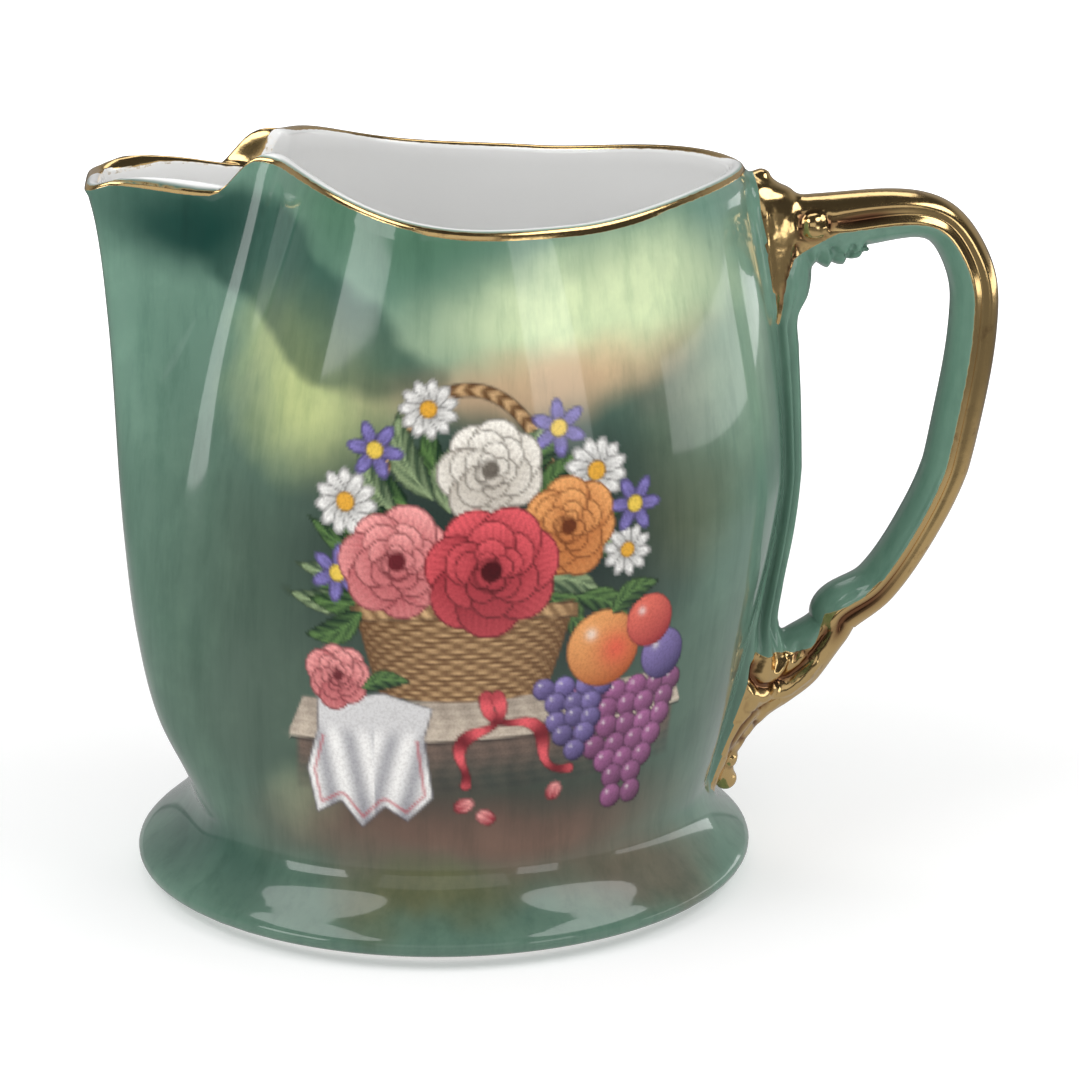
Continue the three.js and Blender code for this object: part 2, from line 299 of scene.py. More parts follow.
# Facet sizes in millimetres of the outer surface, by angle from the handle's side in degrees,
# measured round the body at one share of its height
STEM_ANGLE = 16
STEM_GRAIN = 0.8
SPOUT_ANGLE = 148
SPOUT_GRAIN = 0.8
PICTURE_START = -126
PICTURE_END = -42
PICTURE_LOW = 16.5
PICTURE_HIGH = 84.5
GRAIN_SHARE = 0.6
# One column in this many goes on over the plain surfaces
FINE_SHARE = 3


def column_angles(form):
    """Angles of the outer surface's columns: close together where there is fine detail"""
    samples = np.radians(np.linspace(-180, 180, 7201))
    degrees = np.degrees(samples)
    radius = form.radius(samples, np.full_like(samples, GRAIN_SHARE))
    points = side_by_side(radius * np.cos(samples), radius * np.sin(samples))
    steps = np.linalg.norm(np.diff(points, axis=0), axis=1)
    grain = np.full_like(degrees, form.plain_grain)
    grain[np.abs(degrees) > SPOUT_ANGLE] = SPOUT_GRAIN
    grain[np.abs(degrees) < STEM_ANGLE] = STEM_GRAIN
    grain[(degrees > PICTURE_START) & (degrees < PICTURE_END)] = form.picture_grain
    counted = np.concatenate([[0], np.cumsum(steps / grain[:-1])])
    count = FINE_SHARE * round(counted[-1] / FINE_SHARE)
    wanted = np.arange(count) * counted[-1] / count
    return np.interp(wanted, counted, samples)


def strip(faces, low, high, low_places, high_places):
    """Triangles between two lines of vertices, whichever has more of them"""
    i = 0
    j = 0
    while i < len(low) - 1 or j < len(high) - 1:
        advance_low = j == len(high) - 1 or (
            i < len(low) - 1 and low_places[i + 1] <= high_places[j + 1])
        if advance_low:
            faces.append((low[i], low[i + 1], high[j]))
            i += 1
        else:
            faces.append((low[i], high[j + 1], high[j]))
            j += 1


def quads(faces, rows):
    """Four-sided faces between the rows of an array of vertex numbers"""
    faces.extend(zip(rows[:-1, :-1].ravel().tolist(), rows[:-1, 1:].ravel().tolist(),
                     rows[1:, 1:].ravel().tolist(), rows[1:, :-1].ravel().tolist()))


def closed(row):
    return np.concatenate([row, row[:1]])


class Skin:
    """Vertices and faces of one closed skin"""

    def __init__(self):
        self.points = []
        self.faces = []
        self.count = 0

    def add(self, points):
        numbers = np.arange(self.count, self.count + len(points))
        self.points.append(points)
        self.count += len(points)
        return numbers

    def rings(self, rings):
        """Adds closed rings and the faces between them, and returns their vertex numbers"""
        numbers = [self.add(ring) for ring in rings]
        quads(self.faces, np.array([closed(row) for row in numbers]))
        return numbers

    def cap(self, ring, middle, turned=False):
        """Closes a ring with triangles about one point"""
        pole = self.add(np.array([middle], float))[0]
        loop = closed(ring).tolist()
        if turned:
            loop.reverse()
        self.faces.extend((pole, a, b) for a, b in zip(loop[:-1], loop[1:]))

    def patch(self, before, rings, after):
        """Adds open rows between two rows of the skin, and returns all vertex numbers"""
        rows = np.array([before, *[self.add(ring) for ring in rings], after])
        quads(self.faces, rows)
        return rows


def spaced(low, high, step):
    return np.linspace(low, high, max(2, round(abs(high - low) / step) + 1))


# Millimetres between the rings of the body, in the order from the foot to the inside
LOWER_STEP = 0.8
UPPER_STEP = 0.7
INSIDE_STEP = 1.6
# Rings of a rounded edge or a flare, with those at both its ends
TURN_STEPS = 13
# The foot's rounded edge: how far in from its widest, and how high as a share of its height
edge_profile = curve_through([
    (0, FOOT_TUCK, 0), (0.3, FOOT_TUCK * 0.5, 0.2), (0.5, FOOT_TUCK * 0.12, 0.36),
    (0.65, 0, 0.5), (0.85, EDGE_SHOULDER * 0.12, 0.75), (1, EDGE_SHOULDER, 1)])
# Rings of the inside's floor, as shares of its width, and the lowest ring of the inside's side,
# as a share of the body's height
FLOOR_SHARES = (0.985, 0.96, 0.93, 0.89, 0.84, 0.77, 0.67, 0.5, 0.3, 0.12)
INSIDE_BOTTOM = 0.02


def underside_rings(form, angles):
    """Recess under the foot, standing ring and the foot's rounded edge, up to its shoulder"""
    standing = form.foot_radius - FOOT_TUCK
    recess = standing - STANDING_WIDTH
    rows = [(radius, RECESS_DEPTH) for radius in (4, 16, recess - 6)]
    for turn in np.radians(np.linspace(0, 90, 7)):
        rows.append((recess - RECESS_DEPTH * (1 - math.sin(turn)) - 0.01,
                     RECESS_DEPTH * math.cos(turn)))
    rows += [(recess + 0.4, 0), (standing - 0.4, 0)]
    for share in np.linspace(0, 1, TURN_STEPS)[1:]:
        inward, up = edge_profile(share)
        rows.append((form.foot_radius - inward, FOOT_EDGE * up))
    return [form.round_ring(angles, radius, z) for radius, z in rows]


def flare_rings(form, angles):
    """Hollow flare of the foot, from its shoulder up to the neck"""
    neck = form.ring(angles, 0)
    side = np.hypot(neck[:, 0], neck[:, 1])
    rings = []
    for share in np.linspace(0, 1, TURN_STEPS)[1:-1]:
        radius = mix(side, form.foot_radius - EDGE_SHOULDER, (1 - share) ** FLARE_HOLLOW)
        rings.append(side_by_side(neck[:, 0] * radius / side, neck[:, 1] * radius / side,
                                  mix(FOOT_EDGE, NECK_HEIGHT, share)))
    return rings


def inside_rings(form, angles, top, height):
    """Inside of the bowl from the lip down, and its floor"""
    rings = []
    for share in spaced(top, INSIDE_BOTTOM, INSIDE_STEP / height)[1:]:
        thinning = smooth((share - THINNING_SHARE) / (1 - THINNING_SHARE))
        rings.append(form.ring(angles, share, mix(form.wall, form.rim_wall, thinning)))
    bottom = form.ring(angles, 0, form.wall)
    for share in FLOOR_SHARES:
        floor = bottom * np.array([share, share, 0])
        floor[:, 2] = FLOOR_HEIGHT + (NECK_HEIGHT - FLOOR_HEIGHT) * share**FLOOR_HOLLOW
        rings.append(floor)
    return rings


def vessel_skin(form):
    """Underside, foot, body, rolled lip, inside and floor in one skin"""
    skin = Skin()
    fine = column_angles(form)
    coarse = fine[::FINE_SHARE]
    fine_places = np.append(fine, fine[0] + 2 * math.pi)
    coarse_places = np.append(coarse, coarse[0] + 2 * math.pi)
    height = form.rim_height - NECK_HEIGHT
    low_share = (PICTURE_LOW - NECK_HEIGHT) / height
    high_share = (PICTURE_HIGH - NECK_HEIGHT) / height
    roll = form.rim_wall / 2

    under = skin.rings(underside_rings(form, coarse))
    skin.cap(under[0], (0, 0, RECESS_DEPTH), turned=True)

    # Body below and above the picture, whose rings have every column
    lower = skin.rings(flare_rings(form, fine) + [
        form.ring(fine, share) for share in spaced(0, low_share, LOWER_STEP / height)])
    strip(skin.faces, closed(under[-1]), closed(lower[0]), coarse_places, fine_places)
    upper = [form.ring(fine, share)
             for share in spaced(high_share, 1 - roll / height, UPPER_STEP / height)[:-1]]
    lip = [form.ring(fine, 1, roll * (1 - math.cos(turn)), roll * (1 - math.sin(turn)))
           for turn in np.radians(np.linspace(0, 180, TURN_STEPS))]
    upper = skin.rings(upper + lip)

    # Picture in fine rows, and the rest of that height in rows a few times as far apart
    rows = FINE_SHARE * round((PICTURE_HIGH - PICTURE_LOW) / form.picture_grain / FINE_SHARE)
    shares = np.linspace(low_share, high_share, rows + 1)
    start = int(np.searchsorted(fine, math.radians(PICTURE_START)))
    end = int(np.searchsorted(fine, math.radians(PICTURE_END)))
    painted = np.arange(start, end + 1)
    plain = np.concatenate([np.arange(end, len(fine)), np.arange(0, start + 1)])[1:-1]
    block = skin.patch(lower[-1][painted],
                       [form.ring(fine[painted], share) for share in shares[1:-1]],
                       upper[0][painted])
    around = skin.patch(lower[-1][plain],
                        [form.ring(fine[plain], share)
                         for share in shares[FINE_SHARE:-1:FINE_SHARE]],
                        upper[0][plain])
    every = np.arange(rows + 1)
    strip(skin.faces, around[:, 0], block[:, -1], every[::FINE_SHARE], every)
    strip(skin.faces, block[:, 0], around[:, -1], every, every[::FINE_SHARE])

    inside = skin.rings(inside_rings(form, coarse, 1 - roll / height, height))
    strip(skin.faces, closed(upper[-1]), closed(inside[0]), fine_places, coarse_places)
    skin.cap(inside[-1], (0, 0, FLOOR_HEIGHT))
    return np.concatenate(skin.points), skin.faces


def in_row_frame(points):
    """Millimetres about the foot's axis to metres in the row frame"""
    return (points + np.array([FOOT_AXIS, 0, 0])) * MM


def about_foot(points):
    return points / MM - np.array([FOOT_AXIS, 0, 0])


def new_object(name, points, faces):
    mesh = bpy.data.meshes.new(name)
    mesh.from_pydata(in_row_frame(points).tolist(), [], faces)
    mesh.validate()
    obj = bpy.data.objects.new(name, mesh)
    bpy.context.scene.collection.objects.link(obj)
    return obj


def vertex_places(mesh):
    flat = np.empty(len(mesh.vertices) * 3, np.float32)
    mesh.vertices.foreach_get("co", flat)
    return flat.reshape(-1, 3).astype(float)


def write_values(mesh, name, values):
    """Writes one number for each vertex as a named attribute"""
    attribute = mesh.attributes.new(name, "FLOAT", "POINT")
    attribute.data.foreach_set("value", np.asarray(values, np.float32))


class NodeMaker:
    """Adds nodes to a tree and joins them, from left to right"""

    column_width = 180

    def __init__(self, tree):
        self.tree = tree
        self.column = 0

    def add(self, kind, inputs=None, **settings):
        """A new node with its settings, and with its inputs set or joined"""
        node = self.tree.nodes.new(kind)
        node.location = (self.column, 0)
        self.column += self.column_width
        for name, value in settings.items():
            setattr(node, name, value)
        for name, value in (inputs or {}).items():
            self.put(node.inputs[name], value)
        return node

    def put(self, socket, value):
        if isinstance(value, bpy.types.NodeSocket):
            self.tree.links.new(value, socket)
        else:
            socket.default_value = value

    def math(self, operation, first, second=0.0, third=0.0, clamp=False):
        inputs = dict(enumerate((first, second, third)))
        return self.add("ShaderNodeMath", inputs, operation=operation, use_clamp=clamp).outputs[0]

    def vector(self, operation, first, second=(0, 0, 0)):
        node = self.add("ShaderNodeVectorMath", {0: first, 1: second}, operation=operation)
        return node.outputs["Value"] if operation == "LENGTH" else node.outputs["Vector"]

    def parts(self, vector):
        return self.add("ShaderNodeSeparateXYZ", {0: vector}).outputs

    def together(self, x, y, z):
        return self.add("ShaderNodeCombineXYZ", {"X": x, "Y": y, "Z": z}).outputs["Vector"]

    def step(self, value, low, high):
        """0 below low, 1 above high and smooth between, or the other way round"""
        inputs = {"Value": value, "From Min": low, "From Max": high}
        node = self.add("ShaderNodeMapRange", inputs, interpolation_type="SMOOTHSTEP")
        return node.outputs["Result"]

    def mix(self, share, first, second, blend="MIX"):
        first, second = ((*colour, 1) if isinstance(colour, tuple) else colour
                         for colour in (first, second))
        node = self.add("ShaderNodeMix", data_type="RGBA", blend_type=blend)
        for number, value in ((0, share), (6, first), (7, second)):
            self.put(node.inputs[number], value)
        return node.outputs[2]

    def times(self, colour, factors):
        return self.mix(1.0, colour, factors, "MULTIPLY")

    def noise(self, coordinates, scale, detail=3.0, roughness=0.5, output="Fac"):
        inputs = {"Vector": coordinates, "Scale": scale, "Detail": detail,
                  "Roughness": roughness}
        return self.add("ShaderNodeTexNoise", inputs).outputs[output]

    def attribute(self, name):
        node = self.add("ShaderNodeAttribute", attribute_type="GEOMETRY", attribute_name=name)
        return node.outputs


def new_tree(name, kind, inputs, output):
    """A node tree with named inputs, some with a first value, and one named output"""
    tree = bpy.data.node_groups.new(name, kind)
    for label, socket, *value in inputs:
        item = tree.interface.new_socket(label, in_out="INPUT", socket_type="NodeSocket" + socket)
        if value:
            item.default_value = value[0]
    label, socket = output
    tree.interface.new_socket(label, in_out="OUTPUT", socket_type="NodeSocket" + socket)
    return tree


# Arm of the handle, swept along its path by Geometry Nodes
ARM_STEPS = 240
ARM_SIDES = 60
ARM_SAMPLES = 501
# Samples that the path is smoothed over, above the scroll at this share of its length
ARM_SMOOTHING = 45
SCROLL_END = 0.4
SCROLL_FADE = 0.08


def arm_path(form, share):
    """Middle of the arm in the plane of the handle, half its depth and half its width"""
    fine = np.linspace(0, 1, ARM_SAMPLES)
    window = np.hanning(ARM_SMOOTHING) / np.hanning(ARM_SMOOTHING).sum()
    sharp = 1 - smooth((share - SCROLL_END) / SCROLL_FADE)
    rows = []
    for row, given in zip(arm_curve(fine).T, np.moveaxis(arm_curve(share), -1, 0)):
        padded = np.pad(row, ARM_SMOOTHING // 2, mode="reflect", reflect_type="odd")
        smoothed = np.interp(share, fine, np.convolve(padded, window, "valid"))
        rows.append(mix(smoothed, given, sharp))
    out, up, depth = rows
    z = up * form.rim_height
    x = form.side_reach(z) + out
    half_depth = form.handle_depth / 2 * depth
    half_width = form.handle_width / 2 * mix(TAIL_WIDTH, 1, smooth(share / TAIL_SHARE))
    return x, z, half_depth, half_width


def sweep_tree():
    """Sweeps a round section along a line, as deep and as wide as the line's points say"""
    tree = new_tree(
        "Swept arm", "GeometryNodeTree",
        (("Path", "Geometry"), ("Sides", "Int", ARM_SIDES), ("Swell", "Float", 1),
         ("Finish", "Material")), ("Arm", "Geometry"))
    tree.is_modifier = True
    make = NodeMaker(tree)
    given = make.add("NodeGroupInput").outputs

    def attribute(name):
        node = make.add("GeometryNodeInputNamedAttribute", {"Name": name}, data_type="FLOAT")
        return node.outputs["Attribute"]

    line = make.add("GeometryNodeMeshToCurve", {"Mesh": given["Path"]})
    upright = make.add("GeometryNodeSetCurveNormal",
                       {"Curve": line.outputs["Curve"], "Normal": (0, 1, 0)}, mode="FREE")
    circle = make.add("GeometryNodeCurvePrimitiveCircle",
                      {"Radius": 1, "Resolution": given["Sides"]})
    sweep = make.add("GeometryNodeCurveToMesh", {
        "Curve": upright.outputs["Curve"], "Profile Curve": circle.outputs["Curve"],
        "Scale": make.math("MULTIPLY", attribute("half_depth"), given["Swell"]),
        "Fill Caps": True})
    x, y, z = make.parts(make.add("GeometryNodeInputPosition").outputs["Position"])
    place = make.together(x, make.math("MULTIPLY", y, attribute("width_share")), z)
    widen = make.add("GeometryNodeSetPosition",
                     {"Geometry": sweep.outputs["Mesh"], "Position": place})
    real = make.add("GeometryNodeRealizeInstances", {"Geometry": widen.outputs["Geometry"]})
    finish = make.add("GeometryNodeSetMaterial",
                      {"Geometry": real.outputs["Geometry"], "Material": given["Finish"]})
    make.add("NodeGroupOutput", {"Arm": finish.outputs["Geometry"]})
    return tree


def set_input(modifier, name, value):
    for item in modifier.node_group.interface.items_tree:
        if item.in_out == "INPUT" and item.name == name:
            modifier[item.identifier] = value
            return
    raise RuntimeError(f"the tree has no input named {name}")


def evaluated_mesh(obj):
    bpy.context.view_layer.update()
    live = obj.evaluated_get(bpy.context.evaluated_depsgraph_get())
    return bpy.data.meshes.new_from_object(live)


def arm_object(form, finish):
    x, z, half_depth, half_width = arm_path(form, np.linspace(0, 1, ARM_STEPS + 1))
    arm = new_object("arm", side_by_side(x, 0, z), [])
    mesh = arm.data
    mesh.edges.add(ARM_STEPS)
    ends = side_by_side(np.arange(ARM_STEPS), np.arange(1, ARM_STEPS + 1))
    mesh.edges.foreach_set("vertices", ends.ravel())
    write_values(mesh, "half_depth", half_depth * MM)
    write_values(mesh, "width_share", half_width / half_depth)
    modifier = arm.modifiers.new("Swept arm", "NODES")
    modifier.node_group = sweep_tree()
    for name, value in (("Sides", ARM_SIDES), ("Swell", 1.0), ("Finish", finish)):
        set_input(modifier, name, value)
    swept = evaluated_mesh(arm)
    arm.modifiers.clear()
    arm.data = swept
    return arm


# Flutes that would fit round the whole stem
FLUTE_TURNS = 12


def tube_object(name, middles, fronts, backs, half_widths, sides, flutes=None):
    """A closed tube along a line in the plane of the handle, with its ends drawn together"""
    angles = np.linspace(0, 2 * math.pi, sides, endpoint=False)
    along = np.gradient(middles, axis=0)
    along /= np.linalg.norm(along, axis=1)[:, None]
    outward = side_by_side(along[:, 1], -along[:, 0])
    flutes = np.zeros(len(middles)) if flutes is None else flutes
    facing = np.cos(angles) > 0
    waves = np.where(facing, np.cos(FLUTE_TURNS * angles) - 1, 0)
    rings = []
    rows = zip(middles, outward, fronts, backs, half_widths, flutes)
    for middle, out, front, back, width, flute in rows:
        grown = 1 + waves * flute / max(front, 1)
        reach = np.where(facing, front, back) * np.cos(angles) * grown
        rings.append(side_by_side(middle[0] + out[0] * reach, width * np.sin(angles) * grown,
                                  middle[1] + out[1] * reach))
    skin = Skin()
    numbers = skin.rings(rings)
    skin.cap(numbers[0], (middles[0][0], 0, middles[0][1]), turned=True)
    skin.cap(numbers[-1], (middles[-1][0], 0, middles[-1][1]))
    return new_object(name, np.concatenate(skin.points), skin.faces)


# The stem's ends taper over this share of the rim's height, down to this share of its size,
# and its back reaches this many millimetres into the wall
STEM_TAPER = 0.02
STEM_LEAST = 0.02
STEM_BACK = 1.5


def stem_object(form):
    """Fluted stem up the body's side, which spreads into a root and a bracket at the rim"""
    up = np.linspace(STEM_FOOT, STEM_TOP, 210)
    proud, width = np.moveaxis(stem_curve(up), -1, 0)
    z = up * form.rim_height
    x = form.side_reach(z) - STEM_SUNK
    ends = np.sqrt(np.clip((up - STEM_FOOT) / STEM_TAPER, STEM_LEAST, 1)
                   * np.clip((STEM_TOP - up) / STEM_TAPER, STEM_LEAST, 1))
    fluted = smooth((up - 0.27) / 0.08) * smooth((0.88 - up) / 0.1)
    back = np.full_like(up, min(STEM_BACK, form.wall / 2))
    return tube_object("stem", side_by_side(x, z), STEM_PROUD * proud * ends, back,
                       STEM_WIDTH / 2 * width * ends, sides=84,
                       flutes=form.flute_depth * fluted)


# Leaf under the arm: its height as a share of the rim's, its start out from the body's side
# and its sizes in millimetres, and its lobes, each of which rises slowly and falls fast
LEAF_UP = 0.902
LEAF_START = 6.5
LEAF_LENGTH = 8.5
LEAF_DEPTH = 6
LEAF_WIDTH = 6.9
LEAF_LOBES = 4
LOBE_DEPTH = 0.26
LOBE_SHIFT = 0.3
LOBE_RISE = 0.72


def leaf_object(form):
    """Curled leaf with a lobed edge under the arm"""
    share = np.linspace(0, 1, 60)
    z = np.full_like(share, LEAF_UP * form.rim_height)
    x = form.side_reach(z) + LEAF_START + LEAF_LENGTH * share
    saw = (LEAF_LOBES * share + LOBE_SHIFT) % 1
    notch = np.where(saw < LOBE_RISE, 1 - saw / LOBE_RISE, (saw - LOBE_RISE) / (1 - LOBE_RISE))
    lobe = 1 - LOBE_DEPTH * notch**1.3
    half = LEAF_DEPTH / 2 * np.sin(math.pi * mix(0.3, 0.95, share)) ** 0.8 * lobe
    return tube_object("leaf", side_by_side(x, z), half, half, LEAF_WIDTH / 2 * lobe, sides=40)


# Knobs: distance out from the body's side, height as a share of the rim's, and radius
KNOBS = {"top_knob": (2.2, 0.997, 1.7), "foot_knob": (3.6, 0.103, 1.7)}
KNOB_WIDENING = 1.25


def knob_object(form, name, out, up, radius):
    turn = np.linspace(0.06, math.pi - 0.06, 20)
    height = up * form.rim_height
    middles = side_by_side(form.side_reach(height) + out, height - radius * np.cos(turn))
    size = radius * np.sin(turn)
    return tube_object(name, middles, size, size, size * KNOB_WIDENING, sides=28)


def clean(mesh):
    """Merges coinciding corners and takes out the slivers that a join leaves"""
    work = bmesh.new()
    work.from_mesh(mesh)
    bmesh.ops.triangulate(work, faces=work.faces)
    bmesh.ops.remove_doubles(work, verts=work.verts, dist=SLIVER * MM)
    bmesh.ops.dissolve_degenerate(work, edges=work.edges, dist=SLIVER * MM)
    bmesh.ops.triangulate(work, faces=work.faces)
    work.to_mesh(mesh)
    work.free()


def search_tree(places, numbers):
    tree = kdtree.KDTree(len(numbers))
    for number in numbers:
        tree.insert(places[number], int(number))
    tree.balance()
    return tree


# A joined skin has new edges only further out than this from the foot's axis, in millimetres,
# and a corner is new where no corner of the pieces was within this many metres
HANDLE_START = 30
SAME_CORNER = 2e-6
# The new edges are smoothed over this many millimetres in this many rounds
JOIN_REACH = 1.2
JOIN_ROUNDS = 20


def unite(body, others):
    """Joins closed pieces into one closed skin and returns the corners of the new edges"""
    known = np.concatenate([vertex_places(piece.data) for piece in (body, *others)])
    for other in others:
        modifier = body.modifiers.new("Join", "BOOLEAN")
        modifier.operation = "UNION"
        modifier.solver = "MANIFOLD"
        modifier.object = other
    joined = evaluated_mesh(body)
    clean(joined)
    body.modifiers.clear()
    body.data = joined
    for other in others:
        bpy.data.objects.remove(other)
    tree = search_tree(known, range(len(known)))
    places = vertex_places(joined)
    handle = np.flatnonzero(places[:, 0] / MM - FOOT_AXIS > HANDLE_START)
    return np.array([number for number in handle
                     if tree.find(places[number])[2] > SAME_CORNER], int)


def soften(mesh, fresh):
    """Smooths a band of the skin along the edges where pieces were joined"""
    places = vertex_places(mesh) / MM
    tree = search_tree(places, fresh)
    weight = np.zeros(len(places))
    lowest = places[fresh].min(axis=0) - JOIN_REACH
    highest = places[fresh].max(axis=0) + JOIN_REACH
    for number in np.flatnonzero(((places > lowest) & (places < highest)).all(axis=1)):
        weight[number] = smooth(1 - tree.find(places[number])[2] / JOIN_REACH)
    ends = np.empty(len(mesh.edges) * 2, np.int32)
    mesh.edges.foreach_get("vertices", ends)
    ends = ends.reshape(-1, 2)
    used = ends[(weight[ends] > 0).any(axis=1)]
    count = np.bincount(used.ravel(), minlength=len(places))
    for _ in range(JOIN_ROUNDS):
        total = np.zeros_like(places)
        for axis in range(3):
            for one, other in ((0, 1), (1, 0)):
                total[:, axis] += np.bincount(used[:, one], places[used[:, other], axis],
                                              len(places))
        middle = total / np.maximum(count, 1)[:, None]
        places += np.where(count[:, None] > 0, 0.5 * weight[:, None] * (middle - places), 0)
    mesh.vertices.foreach_set("co", (places * MM).astype(np.float32).ravel())
    mesh.update()


def segment_distance(x, y, line):
    """Distance from points to a line of straight parts, and how far along it, from 0 to 1"""
    line = np.array(line, float)
    lengths = np.linalg.norm(np.diff(line, axis=0), axis=1)
    total = lengths.sum()
    done = 0.0
    nearest = np.full(np.shape(x), np.inf)
    place = np.zeros(np.shape(x))
    for start, end, length in zip(line[:-1], line[1:], lengths):
        step = (end - start) / length
        along = np.clip((x - start[0]) * step[0] + (y - start[1]) * step[1], 0, length)
        distance = np.hypot(x - start[0] - along * step[0], y - start[1] - along * step[1])
        closer = distance < nearest
        nearest = np.where(closer, distance, nearest)
        place = np.where(closer, (done + along) / total, place)
        done += length
    return nearest, place


def inside_outline(x, y, outline):
    """Signed distance to a closed outline, positive inside it"""
    outline = np.array(outline, float)
    loop = np.concatenate([outline, outline[:1]])
    within = np.zeros(np.shape(x), bool)
    for (x0, y0), (x1, y1) in zip(loop[:-1], loop[1:]):
        if y0 == y1:
            continue
        crosses = (y0 > y) != (y1 > y)
        within ^= crosses & (x < (x1 - x0) * (y - y0) / (y1 - y0) + x0)
    distance = segment_distance(x, y, loop)[0]
    return np.where(within, distance, -distance)


# Relief on both sides of the handle, in its plane: lines with their half-width and height in
# millimetres, hollow where the height is below nothing, and round bosses
RELIEF_LINES = (
    ([(55, 34.4), (52.8, 30.6), (50.8, 27.6), (48.8, 25.9), (46.4, 25.3), (44.4, 25.8),
      (43.1, 27.4), (43.3, 29.3), (44.8, 29.7)], 0.55, -0.9),
    ([(53.4, 29.2), (51.4, 26), (49, 24), (46.2, 23.3), (43.6, 24.2), (42, 26.2)], 0.7, 0.6),
    ([(46.6, 22.2), (44, 21.4), (42.2, 19.6), (41, 17.2), (40.6, 14)], 0.45, -0.7),
    ([(44.2, 19.6), (44.9, 17.8), (44, 16), (42.6, 16.1), (42.2, 17.4)], 0.4, -0.6),
    ([(46.2, 26.8), (47.6, 27.6), (48.6, 29.2)], 0.6, 0.5),
    ([(51.6, 29.4), (50.2, 30.6), (49.4, 28.4)], 0.4, -0.5),
    ([(45.6, 20.8), (46.8, 21.4), (47.9, 22.6)], 0.4, 0.4),
    ([(49.2, 94.2), (48.9, 88.4), (47.6, 84.6), (46.4, 78.4)], 0.4, -0.45),
    ([(44, 94.6), (44.5, 88), (45.5, 81.6), (46, 77.4)], 0.4, 0.35),
    ([(52.4, 88.6), (54.4, 86.8), (56.4, 86.4), (59.6, 88)], 0.35, -0.4),
    ([(53.4, 86.6), (54.8, 88.6)], 0.3, -0.35),
    ([(55.8, 85.4), (56.8, 88.2)], 0.3, -0.35),
    ([(58.2, 86), (58.8, 88.6)], 0.3, -0.35),
)
RELIEF_BOSSES = (
    ((51.0, 90.9), 1.7, 0.75),
    ((41.4, 13.2), 1.0, 0.5),
    ((43.2, 23.0), 0.9, 0.35),
)
# Gold on the arm lies outside its middle line, moved out by this many millimetres
ARM_GOLD_LINE = -0.8
# Bead and channel along the arm: how far outside its middle line, half-width and height
ARM_LINES = ((ARM_GOLD_LINE, 0.32, 0.3), (0.7, 0.8, -0.75))
# Part of the arm's length that has them, with the distance out from the body's side
ARM_LINES_START = 0.22
ARM_LINES_END = 0.97
ARM_LINES_FADE = 0.05
ARM_LINES_CLEARANCE = 8
# Relief lies this far out from the body's side, over this height and within this half-width
RELIEF_CLEARANCE = 0.3
RELIEF_LOW = 7
HANDLE_HALF_WIDTH = 9
# A boss has a groove round it, at this share of its radius
GROOVE_PLACE = 1.25
GROOVE_WIDTH = 0.22
GROOVE_DEPTH = 0.45
# A hollow this deep is wholly darkened by painted shade, up to this far out from the body's side
SUNK_DEPTH = 0.5
SUNK_REACH = 22


def model_relief(mesh, form):
    """Raises and hollows the scrolls, bosses and channels on the sides of the handle,
    and writes how deep the hollows near the body are, for the painted shade in them"""
    points = about_foot(vertex_places(mesh))
    normals = np.empty(len(points) * 3, np.float32)
    mesh.vertex_normals.foreach_get("vector", normals)
    normals = normals.reshape(-1, 3)
    chosen = np.flatnonzero(
        (points[:, 0] > form.side_reach(points[:, 2]) + RELIEF_CLEARANCE)
        & (np.abs(points[:, 1]) < HANDLE_HALF_WIDTH) & (points[:, 2] > RELIEF_LOW))
    x = points[chosen, 0]
    z = points[chosen, 2]
    sideways = smooth(np.abs(normals[chosen, 1]) * 1.5)
    height = np.zeros(len(chosen))
    for line, half_width, rise in RELIEF_LINES:
        distance, place = segment_distance(x, z, line)
        ends = smooth(place / 0.12) * smooth((1 - place) / 0.12)
        height += rise * np.exp(-(distance / half_width) ** 2) * ends * sideways
    for (boss_x, boss_z), radius, rise in RELIEF_BOSSES:
        distance = np.hypot(x - boss_x, z - boss_z) / radius
        dome = np.sqrt(np.clip(1 - distance**2, 0, 1))
        groove = np.exp(-((distance - GROOVE_PLACE) / GROOVE_WIDTH) ** 2)
        height += rise * (dome - GROOVE_DEPTH * groove) * sideways
    offset, along, close = arm_offset(form, x, z)
    free = (smooth((along - ARM_LINES_START) / ARM_LINES_FADE)
            * smooth((ARM_LINES_END - along) / ARM_LINES_FADE)
            * (close & (x > form.side_reach(z) + ARM_LINES_CLEARANCE)))
    for place, half_width, rise in ARM_LINES:
        height += free * rise * np.exp(-((offset - place) / half_width) ** 2) * sideways
    points[chosen] += normals[chosen] * height[:, None]
    mesh.vertices.foreach_set("co", in_row_frame(points).astype(np.float32).ravel())
    # Painted shade: how far the gold in the hollows near the body is darkened
    sunk = np.zeros(len(points), np.float32)
    near_body = smooth((form.side_reach(z) + SUNK_REACH - x) / 6)
    sunk[chosen] = np.clip(-height / SUNK_DEPTH, 0, 1) * near_body
    write_values(mesh, "sunk", sunk)
    mesh.update()


# A place belongs to the arm up to this far outside its section, in millimetres
ARM_MARGIN = 0.8


